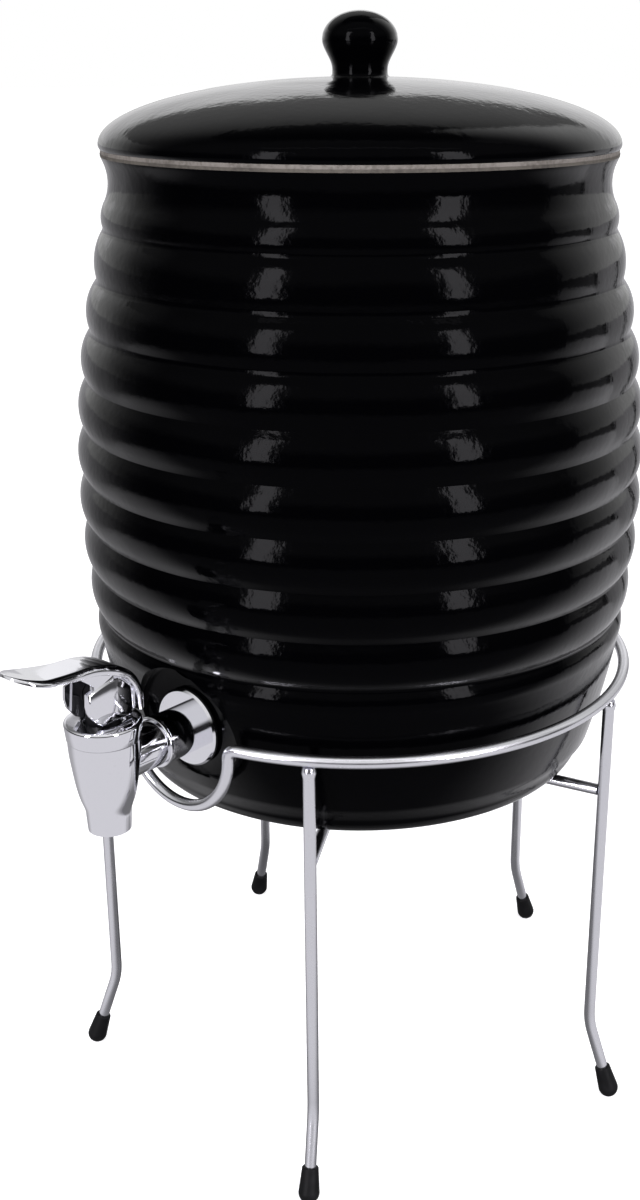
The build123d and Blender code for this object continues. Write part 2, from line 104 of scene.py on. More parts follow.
def middle_of(node: str) -> Vector:
    """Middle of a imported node's box."""
    low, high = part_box(node)
    return (low + high) / 2


def crock_axis() -> Vector:
    """Point on the floor under the crock's axis."""
    middle = middle_of("crock")
    return Vector((middle.x, middle.y, 0))


def tap_centre() -> Vector:
    """Point where the shank's line crosses the crock's axis."""
    axis = crock_axis()
    return Vector((axis.x, axis.y, middle_of("tap_flange").z))


# Shader graph


@dataclass
class Value:
    """A number socket in a node graph, on which arithmetic adds Math nodes."""

    graph: "Graph"
    socket: Any

    def combine(self, operation: str, other: "Value | float", swapped: bool = False) -> "Value":
        """Add one Math node.

        Args:
            operation: The Math node's operation.
            other: The second operand.
            swapped: Whether the operands change places.

        Returns:
            The node's result.
        """
        pair = (other, self) if swapped else (self, other)
        return self.graph.add("ShaderNodeMath", {"operation": operation}, dict(enumerate(pair)))

    def __add__(self, other: "Value | float") -> "Value":
        """Sum."""
        return self.combine("ADD", other)

    __radd__ = __add__

    def __mul__(self, other: "Value | float") -> "Value":
        """Product."""
        return self.combine("MULTIPLY", other)

    __rmul__ = __mul__

    def __sub__(self, other: "Value | float") -> "Value":
        """Difference."""
        return self.combine("SUBTRACT", other)

    def __rsub__(self, other: float) -> "Value":
        """Difference from a number."""
        return self.combine("SUBTRACT", other, swapped=True)

    def __gt__(self, other: float) -> "Value":
        """One where this is greater, else zero."""
        return self.combine("GREATER_THAN", other)

    def __abs__(self) -> "Value":
        """Size without its sign."""
        return self.combine("ABSOLUTE", 0.0)

    def larger(self, other: "Value") -> "Value":
        """The larger of two."""
        return self.combine("MAXIMUM", other)

    def band(self, half: float) -> "Value":
        """One within a half width of zero, else zero."""
        return self.graph.add("ShaderNodeMath", {"operation": "COMPARE"}, {0: self, 1: 0.0, 2: half})

    def ramp(self, low: float, high: float) -> "Value":
        """Smooth step from zero at low to one at high."""
        settings = {"interpolation_type": "SMOOTHSTEP"}
        return self.graph.add("ShaderNodeMapRange", settings, {0: self, 1: low, 2: high})


class Graph:
    """The nodes of one material or world."""

    def __init__(self, owner: Any) -> None:
        """Empty the owner's graph.

        Args:
            owner: The material or world that holds the graph.
        """
        owner.use_nodes = True
        self.nodes = owner.node_tree.nodes
        self.links = owner.node_tree.links
        self.nodes.clear()

    def add(
        self,
        kind: str,
        settings: dict[str, Any] | None = None,
        inputs: dict[Any, Any] | None = None,
        output: str | int = 0,
    ) -> Value:
        """Add one node.

        Args:
            kind: The node's type.
            settings: Attributes set before the sockets.
            inputs: Socket name or number to a value or a link.
            output: Name or number of the output to return.

        Returns:
            The chosen output, wrapped.
        """
        node = self.nodes.new(kind)
        for name, setting in (settings or {}).items():
            setattr(node, name, setting)
        for name, given in (inputs or {}).items():
            if isinstance(given, Value):
                self.links.new(given.socket, node.inputs[name])
            else:
                node.inputs[name].default_value = given
        return Value(self, node.outputs[output] if len(node.outputs) else None)

    def place(self) -> Value:
        """Object coordinates."""
        return self.add("ShaderNodeTexCoord", output="Object")

    def ray(self, kind: Ray) -> Value:
        """One for a kind of ray, else zero."""
        return self.add("ShaderNodeLightPath", output=kind.value)

    def noise(self, scale: float, detail: float = 3.0) -> Value:
        """Noise over object coordinates, with so many features to the metre."""
        sockets = {"Vector": self.place(), "Scale": scale, "Detail": detail}
        return self.add("ShaderNodeTexNoise", inputs=sockets)

    def mix(self, factor: Value, first: Colour, second: Colour) -> Value:
        """Mix of two colours, the second one where the factor is one."""
        sockets = {0: factor, 6: (*first, 1.0), 7: (*second, 1.0)}
        return self.add("ShaderNodeMix", {"data_type": "RGBA"}, sockets, output=2)

    def bump(self, height: Value, distance: float, **below: Value) -> Value:
        """Normal from a height, with the height of one in metres, over another Normal if given."""
        return self.add("ShaderNodeBump", inputs={"Height": height, "Distance": distance, **below})

    def surface(self, shader: Value) -> None:
        """Send a shader to the output."""
        self.add("ShaderNodeOutputMaterial", inputs={"Surface": shader})


def new_material(name: str) -> tuple[bpy.types.Material, Graph]:
    """Make an empty material and its graph."""
    material = bpy.data.materials.new(name)
    return material, Graph(material)


# Finishes


@dataclass(frozen=True)
class Glaze:
    """Thick black glaze with a soft orange peel, deep black where it faces the eye."""

    name: str
    edge_range: Pair
    edge_refraction: float = 1.62
    facing_refraction: float = 1.09
    colour: Colour = (0.0004, 0.0004, 0.0006)
    roughness: float = 0.07
    roughness_spread: float = 0.06
    wear_scale: float = 60.0
    peel_scale: float = 330.0
    peel_height: float = 0.09 * MM
    sag_scale: float = 30.0
    sag_height: float = 0.8 * MM

    def make(self) -> bpy.types.Material:
        """Build the material.

        Returns:
            The material.
        """
        material, graph = new_material(self.name)
        sag = graph.noise(self.sag_scale, detail=1.0)
        peel = graph.noise(self.peel_scale, detail=2.0)
        wear = graph.noise(self.wear_scale)
        sockets = {
            "Base Color": (*self.colour, 1.0),
            "Roughness": wear * self.roughness_spread + self.roughness,
            "Normal": graph.bump(peel, self.peel_height, Normal=graph.bump(sag, self.sag_height)),
        }
        facing, edge = (
            graph.add("ShaderNodeBsdfPrincipled", inputs={**sockets, "IOR": refraction})
            for refraction in (self.facing_refraction, self.edge_refraction)
        )
        turned = graph.add("ShaderNodeLayerWeight", inputs={"Blend": 0.5}, output="Facing")
        share = turned.ramp(*self.edge_range)
        graph.surface(graph.add("ShaderNodeMixShader", inputs={0: share, 1: facing, 2: edge}))
        return material


@dataclass(frozen=True)
class BareClay:
    """Unglazed stoneware, stained and grainy, at the crock's rim and the lid's edge."""

    name: str
    pale: Colour
    dark: Colour
    roughness: float = 0.8
    grain_scale: float = 700.0
    grain_height: float = 0.1 * MM
    stain_scale: float = 60.0
    stain_range: Pair = (0.42, 0.66)

    def make(self) -> bpy.types.Material:
        """Build the material.

        Returns:
            The material.
        """
        material, graph = new_material(self.name)
        grain = graph.noise(self.grain_scale)
        stain = graph.noise(self.stain_scale)
        stained = (grain * 0.5 + stain * 0.5).ramp(*self.stain_range)
        sockets = {
            "Base Color": graph.mix(stained, self.pale, self.dark),
            "Roughness": self.roughness,
            "Normal": graph.bump(grain, self.grain_height),
        }
        graph.surface(graph.add("ShaderNodeBsdfPrincipled", inputs=sockets))
        return material


@dataclass(frozen=True)
class Chrome:
    """Bright chrome plate, mirror bright on the tap and softer on the bent wire."""

    name: str
    colour: Colour = (0.86, 0.86, 0.90)
    dull: Colour = (0.62, 0.62, 0.65)
    roughness: float = 0.06
    roughness_spread: float = 0.05
    ripple_scale: float = 90.0
    ripple_height: float = 0.04 * MM
    haze_scale: float = 36.0
    haze_range: Pair = (0.4, 0.7)
    speck_scale: float = 900.0
    speck_range: Pair = (0.60, 0.80)
    speck_share: float = 0.15

    def make(self) -> bpy.types.Material:
        """Build the material.

        Returns:
            The material.
        """
        material, graph = new_material(self.name)
        ripple = graph.noise(self.ripple_scale, detail=2.0)
        haze = graph.noise(self.haze_scale, detail=4.0).ramp(*self.haze_range)
        specks = graph.noise(self.speck_scale, detail=2.0).ramp(*self.speck_range)
        sockets = {
            "Base Color": graph.mix(specks * self.speck_share, self.colour, self.dull),
            "Metallic": 1.0,
            "Roughness": haze * self.roughness_spread + self.roughness,
            "Normal": graph.bump(ripple, self.ripple_height),
        }
        graph.surface(graph.add("ShaderNodeBsdfPrincipled", inputs=sockets))
        return material


@dataclass(frozen=True)
class Moulded:
    """Moulded rubber or plastic with a fine skin texture."""

    name: str
    colour: Colour
    worn: Colour
    roughness: float
    roughness_spread: float = 0.12
    refraction: float = 1.25
    grain_scale: float = 1400.0
    grain_height: float = 0.05 * MM
    rub_scale: float = 140.0
    rub_range: Pair = (0.45, 0.75)

    def make(self) -> bpy.types.Material:
        """Build the material.

        Returns:
            The material.
        """
        material, graph = new_material(self.name)
        grain = graph.noise(self.grain_scale, detail=2.0)
        rub = graph.noise(self.rub_scale, detail=4.0)
        sockets = {
            "Base Color": graph.mix(rub.ramp(*self.rub_range), self.colour, self.worn),
            "Roughness": rub * self.roughness_spread + self.roughness,
            "IOR": self.refraction,
            "Normal": graph.bump(grain, self.grain_height),
        }
        graph.surface(graph.add("ShaderNodeBsdfPrincipled", inputs=sockets))
        return material


@dataclass(frozen=True)
class DrawnSteel:
    """Plain drawn steel of the spring and the pin."""

    colour: Colour = (0.45, 0.44, 0.42)
    roughness: float = 0.28
    roughness_spread: float = 0.2
    line_scale: float = 2400.0
    line_height: float = 0.02 * MM

    def make(self) -> bpy.types.Material:
        """Build the material.

        Returns:
            The material.
        """
        material, graph = new_material("drawn_steel")
        lines = graph.noise(self.line_scale, detail=1.0)
        sockets = {
            "Base Color": (*self.colour, 1.0),
            "Metallic": 1.0,
            "Roughness": lines * self.roughness_spread + self.roughness,
            "Normal": graph.bump(lines, self.line_height),
        }
        graph.surface(graph.add("ShaderNodeBsdfPrincipled", inputs=sockets))
        return material


class Finishes:
    """Every finish of the dispenser, made once."""

    def __init__(self) -> None:
        """Make the materials."""
        self.glaze = Glaze("crock_glaze", (0.30, 0.66)).make()
        self.lid_glaze = Glaze("lid_glaze", (0.34, 0.70), edge_refraction=2.05).make()
        # Both bare clays are darkened below the clay's own colour as painted shade for the band under the
        # lid's edge, the crock's rim the darker.
        self.rim_clay_painted_shade = BareClay("rim_clay_painted_shade", (0.072, 0.063, 0.051), (0.040, 0.034, 0.028)).make()
        self.edge_clay_painted_shade = BareClay("edge_clay_painted_shade", (0.15, 0.135, 0.12), (0.08, 0.07, 0.06)).make()
        self.wire = Chrome(
            "wire_chrome", (0.78, 0.78, 0.82), (0.55, 0.55, 0.58), roughness=0.20, roughness_spread=0.08
        ).make()
        self.bright = Chrome("bright_chrome").make()
        self.rubber = Moulded("cap_rubber", (0.003, 0.003, 0.0035), (0.007, 0.007, 0.008), 0.45).make()
        self.plastic = Moulded("stem_plastic", (0.006, 0.006, 0.007), (0.012, 0.012, 0.013), 0.3).make()
        self.silicone = Moulded("seat_silicone", (0.60, 0.58, 0.53), (0.52, 0.50, 0.45), 0.45).make()
        self.steel = DrawnSteel().make()


def dress(material: bpy.types.Material, *nodes: str) -> None:
    """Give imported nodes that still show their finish.

    Args:
        material: The finish.
        *nodes: The nodes' names.
    """
    for name in nodes:
        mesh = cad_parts[name].data
        mesh.materials.clear()
        mesh.materials.append(material)
        log.info("%s: packed solid in %s", name, material.name)


# Outlines


def spread(start: float, end: float, count: int) -> list[float]:
    """Evenly spaced values, so many stretches from start to end, both included."""
    return [start + (end - start) * step / count for step in range(count + 1)]


def oval(centre: Pair, wide: float, high: float, start: float, end: float, count: int) -> Outline:
    """Points on a stretch of an upright oval.

    Args:
        centre: Its middle.
        wide: Half its width.
        high: Half its height.
        start: Angle of the first point, from straight outwards.
        end: Angle of the last point.
        count: Number of stretches.

    Returns:
        The points, both ends included.
    """
    angles = spread(start, end, count)
    return [(centre[0] + wide * math.cos(a), centre[1] + high * math.sin(a)) for a in angles]


def arc(start: Pair, middle: Pair, end: Pair, count: int) -> Outline:
    """Points on the arc through three points.

    Args:
        start: First point.
        middle: A point between.
        end: Last point.
        count: Number of stretches.

    Returns:
        The points, both ends included.
    """
    (ax, ay), (bx, by), (cx, cy) = start, middle, end
    scale = 2 * (ax * (by - cy) + bx * (cy - ay) + cx * (ay - by))
    squares = [x * x + y * y for x, y in (start, middle, end)]
    ux = (squares[0] * (by - cy) + squares[1] * (cy - ay) + squares[2] * (ay - by)) / scale
    uy = (squares[0] * (cx - bx) + squares[1] * (ax - cx) + squares[2] * (bx - ax)) / scale
    radius = math.hypot(ax - ux, ay - uy)
    first = math.atan2(ay - uy, ax - ux)
    half = math.remainder(math.atan2(by - uy, bx - ux) - first, TURN)
    whole = half + math.remainder(math.atan2(cy - uy, cx - ux) - first - half, TURN)
    return oval((ux, uy), radius, radius, first, first + whole, count)


def pulled_curve(start: Vector, pull: Vector, push: Vector, end: Vector, count: int) -> Outline:
    """Points on a smooth curve with two handles.

    Args:
        start: First point.
        pull: Handle of the first point.
        push: Handle of the last point.
        end: Last point.
        count: Number of stretches.

    Returns:
        The points, both ends included.
    """
    points = []
    for t in spread(0, 1, count):
        s = 1 - t
        point = start * s**3 + pull * (3 * s * s * t) + push * (3 * s * t * t) + end * t**3
        points.append((point.x, point.y))
    return points


def between(a: float, b: float, c: float, d: float, t: float) -> float:
    """Value between the middle two of four, on a smooth curve through them.

    Args:
        a: First value.
        b: Second value, where the share is zero.
        c: Third value, where the share is one.
        d: Last value.
        t: Share of the way.

    Returns:
        The value.
    """
    curve = 2 * a - 5 * b + 4 * c - d
    twist = 3 * b - a - 3 * c + d
    return 0.5 * (2 * b + (c - a) * t + curve * t**2 + twist * t**3)


# Modelling


def deselect_all() -> None:
    """Leave edit mode and clear the selection."""
    if bpy.context.object and bpy.context.object.mode != "OBJECT":
        bpy.ops.object.mode_set(mode="OBJECT")
    bpy.ops.object.select_all(action="DESELECT")


def select_where(obj: bpy.types.Object, wanted: Callable[[Vector], bool]) -> None:
    """Select faces of the mesh in edit mode.

    Args:
        obj: The object that is being edited.
        wanted: Test of a face's middle.
    """
    bpy.ops.mesh.select_all(action="DESELECT")
    bpy.ops.object.mode_set(mode="OBJECT")
    for polygon in obj.data.polygons:
        polygon.select = wanted(polygon.center)
    bpy.ops.object.mode_set(mode="EDIT")


def bare_where(piece: bpy.types.Object, wanted: Callable[[Vector], bool]) -> None:
    """Give a piece's second finish to the faces whose middle passes a test."""
    for polygon in piece.data.polygons:
        polygon.material_index = int(wanted(polygon.center))


def close_up() -> None:
    """Merge doubles, close open ends and point the faces outwards, on the mesh in edit mode."""
    bpy.ops.mesh.select_all(action="SELECT")
    bpy.ops.mesh.remove_doubles(threshold=MERGE_REACH)
    bpy.ops.mesh.fill_holes(sides=0)
    bpy.ops.mesh.select_all(action="SELECT")
    bpy.ops.mesh.normals_make_consistent(inside=False)


def draw_line(points: list[Vector]) -> bpy.types.Object:
    """Draw a line through points as a new mesh.

    Args:
        points: The points, in order.

    Returns:
        The object, in edit mode with the whole line selected.
    """
    deselect_all()
    bpy.ops.mesh.primitive_plane_add(size=MM)
    bpy.ops.object.mode_set(mode="EDIT")
    bpy.ops.mesh.merge(type="CENTER")
    bpy.ops.transform.translate(value=points[0])
    for before, after in zip(points, points[1:]):
        bpy.ops.mesh.extrude_vertices_move(TRANSFORM_OT_translate={"value": after - before})
    bpy.ops.mesh.select_all(action="SELECT")
    return bpy.context.object


def lathe(outline: Outline, centre: Vector, steps: int) -> bpy.types.Object:
    """Turn a half outline about an upright axis.

    Args:
        outline: Points as radius and height, in order.
        centre: Point on the axis that heights are measured from.
        steps: Faces round the turn.

    Returns:
        The object, still in edit mode.
    """
    obj = draw_line([centre + Vector((radius, 0, height)) for radius, height in outline])
    bpy.ops.mesh.spin(steps=steps, angle=TURN, center=centre, axis=UP)
    close_up()
    return obj


def use_up(tool: bpy.types.Object, piece: bpy.types.Object, deed: Deed) -> None:
    """Cut a tool's shape out of a piece or join it on, and delete the tool.

    Args:
        tool: The shape that is used up.
        piece: The piece that stays.
        deed: What the tool does.
    """
    deselect_all()
    piece.select_set(True)
    bpy.context.view_layer.objects.active = piece
    boolean = piece.modifiers.new("boolean", "BOOLEAN")
    boolean.object = tool
    boolean.operation, boolean.solver = deed.value
    bpy.ops.object.modifier_apply(modifier=boolean.name)
    bpy.data.objects.remove(tool)


def settle(
    name: str, body: Body, slot: Slot, nodes: list[str], *materials: bpy.types.Material
) -> bpy.types.Object:
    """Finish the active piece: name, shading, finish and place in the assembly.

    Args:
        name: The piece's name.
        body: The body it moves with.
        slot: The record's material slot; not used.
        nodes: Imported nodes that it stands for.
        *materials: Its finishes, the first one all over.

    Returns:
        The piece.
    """
    if bpy.context.object.mode != "OBJECT":
        bpy.ops.object.mode_set(mode="OBJECT")
    piece = bpy.context.object
    piece.name = name
    piece.data.name = name
    for material in materials:
        piece.data.materials.append(material)
    bpy.ops.object.shade_smooth_by_angle(angle=SMOOTH_ANGLE)
    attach(piece, body.value)
    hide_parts(*nodes)
    log.info("%s: %d faces on %s", name, len(piece.data.polygons), body.value)
    deselect_all()
    return piece


@dataclass
class BentWire:
    """Round wire that is drawn out and bent step by step, in edit mode."""

    radius: float
    sides: int = 20

    def start(self, place: Vector, heading: Vector) -> None:
        """Put down the wire's first ring.

        Args:
            place: The ring's middle.
            heading: Way the wire sets out, square to the ring.
        """
        deselect_all()
        turn = heading.to_track_quat("Z", "Y").to_euler()
        bpy.ops.mesh.primitive_circle_add(
            vertices=self.sides, radius=self.radius, location=place, rotation=turn
        )
        bpy.ops.object.transform_apply(location=True, rotation=True, scale=True)
        bpy.ops.object.mode_set(mode="EDIT")

    def run(self, way: Vector) -> None:
        """Draw the wire straight."""
        bpy.ops.mesh.extrude_region_move(TRANSFORM_OT_translate={"value": way})

    def swell(self, place: Vector, way: Vector, share: float) -> None:
        """Draw the wire straight from a place and widen its new ring."""
        self.run(way)
        bpy.ops.transform.resize(value=(share, share, share), center_override=place + way)

    def bend(self, centre: Vector, axis: Vector, angle: float, step: float) -> None:
        """Bend the wire about an axis by the right-hand rule.

        Args:
            centre: Point on the axis.
            axis: The axis.
            angle: How far it bends.
            step: Angle of one face along the bend.
        """
        steps = max(2, round(abs(angle) / step))
        bpy.ops.mesh.spin(steps=steps, angle=-angle, center=centre, axis=axis)


# The crock and its lid


@dataclass
class Crock:
    """The glazed crock with its ribs, neck, bare rim and flat tap seat.

    Levels are measured from the underside of its base.
    """

    finishes: Finishes
    belly_radius: float = 121.0 * MM
    belly_level: float = 123.998 * MM
    arc_radius: float = 399.437 * MM
    base_edge: float = 8.0 * MM
    base_lean: float = math.radians(15)
    band_start_share: float = 1.6
    wall: float = 8.5 * MM
    floor: float = 10.0 * MM
    inner_edge: float = 12.0 * MM
    ribs: int = 8
    rib_pitch: float = 20.1 * MM
    first_groove: float = 70.0 * MM
    groove_depth: float = 2.8 * MM
    top_groove_depth: float = 1.5 * MM
    groove_blur: float = 1.0 * MM
    crest: Pair = (105.7 * MM, 4.2 * MM)
    band_end: Pair = (104.3 * MM, 9.6 * MM)
    neck: Pair = (102.1 * MM, 9.6 * MM)
    rim_radius: float = 104.6 * MM
    rim_land: float = 1.1 * MM
    mouth_radius: float = 94.0 * MM
    mouth_edge: float = 2.0 * MM
    seat_radius: float = 27.0 * MM
    seat_reach: float = 107.488 * MM
    seat_wall: float = 8.0 * MM
    seat_edge: float = 2.0 * MM
    seat_segments: int = 5
    hole_radius: float = 8.5 * MM
    base_points: int = 8
    band_points: int = 20
    rib_points: int = 14
    wall_points: int = 40
    edge_points: int = 6
    round_steps: int = 288
    bore_steps: int = 96
    base: Vector = field(default_factory=lambda: crock_axis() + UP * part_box("crock")[0].z)
    height: float = field(default_factory=lambda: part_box("crock")[1].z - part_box("crock")[0].z)

    def barrel(self, level: float, inset: float = 0.0) -> float:
        """Radius of the barrel's curve.

        Args:
            level: The level.
            inset: How far inside the outer curve.

        Returns:
            The radius.
        """
        arc_radius = self.arc_radius - inset
        rise = math.sqrt(arc_radius**2 - (level - self.belly_level) ** 2)
        return rise - self.arc_radius + self.belly_radius

    def groove(self, number: int) -> Pair:
        """Bottom of one groove.

        Args:
            number: The groove, from zero for the lowest.

        Returns:
            Its radius and level.
        """
        level = self.first_groove + number * self.rib_pitch
        depth = self.top_groove_depth if number == self.ribs else self.groove_depth
        return self.barrel(level) - depth, level

    def foot(self) -> Outline:
        """The rounded edge of the base and the smooth band above it.

        Returns:
            The outline up to the lowest groove's shoulder, which isn't in it.
        """
        edge = self.barrel(0) - self.base_edge
        rounding = oval(
            (edge, self.base_edge), self.base_edge, self.base_edge, -QUARTER, self.base_lean, self.base_points
        )
        start = self.base_edge * self.band_start_share
        end = self.first_groove - self.rib_pitch / 2
        band = [(self.barrel(z), z) for z in spread(start, end, self.band_points)]
        return rounding[:-1] + band[:-1]

    def ribbed(self) -> Outline:
        """The ribs and the neck, with sharp grooves.

        Returns:
            The outline from the lowest groove's shoulder to the rim.
        """
        low = self.first_groove - self.rib_pitch / 2
        middle = low + self.rib_pitch / 4
        outline = arc((self.barrel(low), low), (self.barrel(middle), middle), self.groove(0), self.rib_points)
        for number in range(self.ribs):
            level = self.first_groove + (number + 0.5) * self.rib_pitch
            crest = (self.barrel(level), level)
            outline += arc(self.groove(number), crest, self.groove(number + 1), self.rib_points)[1:]
        top = self.groove(self.ribs)
        crest = (self.crest[0], top[1] + self.crest[1])
        end = (self.band_end[0], top[1] + self.band_end[1])
        neck = (self.neck[0], self.height - self.neck[1])
        flare = (self.rim_radius, self.height - self.rim_land)
        outline += arc(top, crest, end, self.rib_points)[1:]
        outline += arc(end, neck, flare, self.rib_points)[1:]
        return outline

    def softened(self, outline: Outline) -> Outline:
        """Draw sharp grooves smooth.

        Args:
            outline: The outline with its sharp grooves.

        Returns:
            The smooth outline, at the same levels.
        """
        soft = []
        for _, level in outline:
            near = [(r, math.exp(-(((z - level) / self.groove_blur) ** 2))) for r, z in outline]
            weight = sum(share for _, share in near)
            soft.append((sum(r * share for r, share in near) / weight, level))
        return soft

    def inside(self) -> Outline:
        """The lip, the inner wall and the rounded corner of the inner floor.

        Returns:
            The outline from the lip down.
        """
        lip_centre = (self.mouth_radius + self.mouth_edge, self.height - self.mouth_edge)
        lip = oval(lip_centre, self.mouth_edge, self.mouth_edge, QUARTER, HALF_TURN, self.edge_points)
        mouth_reach = self.mouth_radius + self.arc_radius - self.belly_radius
        mouth = self.belly_level + math.sqrt((self.arc_radius - self.wall) ** 2 - mouth_reach**2)
        foot = self.floor + self.inner_edge
        wall = [(self.barrel(z, self.wall), z) for z in spread(mouth, foot, self.wall_points)]
        corner_centre = (wall[-1][0] - self.inner_edge, foot)
        corner = oval(corner_centre, self.inner_edge, self.inner_edge, 0, -QUARTER, self.edge_points)
        return lip[1:] + wall + corner[1:]

    def outline(self) -> Outline:
        """The whole section.

        Returns:
            The outline from the middle of the base round to the middle of the inner floor.
        """
        ribs = self.softened(self.ribbed())
        land = [(self.rim_radius, self.height), (self.mouth_radius + self.mouth_edge, self.height)]
        return [(0, 0)] + self.foot() + ribs + land + self.inside() + [(0, self.floor)]

    def bore(self, crock: bpy.types.Object, radius: float, near: float, edge: float) -> None:
        """Bore into the crock's front along the shank's line.

        Args:
            crock: The turned crock.
            radius: The bore's radius.
            near: How near to the crock's axis the bore ends.
            edge: Rounding of its bottom edge, or zero.
        """
        seat = tap_centre()
        depth = self.belly_radius - near + self.seat_wall
        deselect_all()
        bpy.ops.mesh.primitive_cylinder_add(
            vertices=self.bore_steps,
            radius=radius,
            depth=depth,
            location=seat - Vector((0, near + depth / 2, 0)),
            rotation=(QUARTER, 0, 0),
        )
        cutter = bpy.context.object
        bpy.ops.object.transform_apply(location=True, rotation=True, scale=True)
        if edge:
            bpy.ops.object.mode_set(mode="EDIT")
            select_where(cutter, lambda c: c.y > seat.y - near - TOUCH)
            bpy.ops.mesh.bevel(offset=edge, segments=self.seat_segments, affect="EDGES")
            bpy.ops.object.mode_set(mode="OBJECT")
        use_up(cutter, crock, Deed.CUT)

    def build(self) -> None:
        """Turn the crock, cut its tap seat and the shank's hole, and bare its rim."""
        crock = lathe(self.outline(), self.base, self.round_steps)
        bpy.ops.object.mode_set(mode="OBJECT")
        self.bore(crock, self.seat_radius, self.seat_reach, self.seat_edge)
        self.bore(crock, self.hole_radius, self.seat_reach / 2, 0.0)
        piece = settle(
            "crock_glazed", Body.CROCK, Slot.GLAZE, ["crock"], self.finishes.glaze, self.finishes.rim_clay_painted_shade
        )
        rim = self.base.z + self.height - self.rim_land
        lip = self.mouth_radius + self.mouth_edge
        bare_where(piece, lambda c: c.z > rim and (c - self.base).to_2d().length > lip)


@dataclass
class Lid:
    """The domed lid with its knob, thrown in one piece.

    Levels are measured from the crock's rim.
    """

    finishes: Finishes
    edge_radius: float = 104.4 * MM
    land: float = 1.5 * MM
    widest_radius: float = 105.2 * MM
    widest_level: float = 3.3 * MM
    bulge_share: float = 0.75
    rise: float = 25.3 * MM
    crown: float = 21.6 * MM
    shoulder: float = 4.0 * MM
    contact: float = 0.02 * MM
    spigot_radius: float = 92.8 * MM
    spigot_depth: float = 12.0 * MM
    inner_radius: float = 87.8 * MM
    neck_radius: float = 11.1 * MM
    bead: Pair = (1.2 * MM, 1.6 * MM)
    bead_pull_share: float = 0.6
    neck_top: float = 31.4 * MM
    knob_radius: float = 15.1 * MM
    knob_level: float = 42.5 * MM
    knob_top: float = 53.3 * MM
    skirt_points: int = 5
    dome_points: int = 60
    bead_points: int = 6
    flare_points: int = 14
    knob_points: int = 16
    inner_points: int = 24
    round_steps: int = 256

    def underside(self) -> Outline:
        """The hollow and the spigot.

        Returns:
            The outline from the hollow's crown to the land that rests on the rim.
        """
        depth = self.crown - self.shoulder
        hollow = oval((0, self.shoulder), self.inner_radius, depth, QUARTER, 0, self.inner_points)
        spigot = [(self.inner_radius, -self.spigot_depth), (self.spigot_radius, -self.spigot_depth)]
        land = [(self.spigot_radius, self.contact), (self.edge_radius, self.contact)]
        return [(0, self.crown)] + hollow[1:] + spigot + land

    def skirt(self) -> Outline:
        """The bare edge and the bulge above it.

        Returns:
            The outline from the land to the widest line.
        """
        bulge = (
            self.edge_radius + (self.widest_radius - self.edge_radius) * self.bulge_share,
            (self.land + self.widest_level) / 2,
        )
        widest = (self.widest_radius, self.widest_level)
        return arc((self.edge_radius, self.land), bulge, widest, self.skirt_points)

    def dome(self) -> Outline:
        """The dome and the bead at the knob's foot.

        Returns:
            The outline from above the widest line to the knob's neck.
        """
        meet = math.acos((self.neck_radius + self.bead[0]) / self.widest_radius)
        dome = oval((0, self.widest_level), self.widest_radius, self.rise, 0, meet, self.dome_points)
        foot = Vector(dome[-1])
        neck = Vector((self.neck_radius, dome[-1][1] + self.bead[1]))
        inwards = Vector((self.bead[0] * self.bead_pull_share, 0))
        upwards = Vector((0, self.bead[1] * self.bead_pull_share))
        bead = pulled_curve(foot, foot - inwards, neck - upwards, neck, self.bead_points)
        return dome[1:] + bead[1:]

    def knob(self) -> Outline:
        """The knob.

        Returns:
            The outline from the top of its neck to its top.
        """
        neck = Vector((self.neck_radius, self.neck_top))
        widest = Vector((self.knob_radius, self.knob_level))
        pull = Vector((0, (self.knob_level - self.neck_top) / 3))
        flare = pulled_curve(neck, neck + pull, widest - pull, widest, self.flare_points)
        height = self.knob_top - self.knob_level
        crown = oval((0, self.knob_level), self.knob_radius, height, 0, QUARTER, self.knob_points)
        return flare + crown[2:-1] + [(0, self.knob_top)]

    def build(self) -> None:
        """Turn the lid and bare the edge that stands on the rim."""
        seat = crock_axis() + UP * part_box("crock")[1].z
        lathe(self.underside() + self.skirt() + self.dome() + self.knob(), seat, self.round_steps)
        piece = settle(
            "lid_glazed", Body.LID, Slot.GLAZE, ["lid"], self.finishes.lid_glaze, self.finishes.edge_clay_painted_shade
        )
        low, high = seat.z - TOUCH, seat.z + self.land
        bare_where(piece, lambda c: low < c.z < high and (c - seat).to_2d().length > self.spigot_radius)


# The wire stand


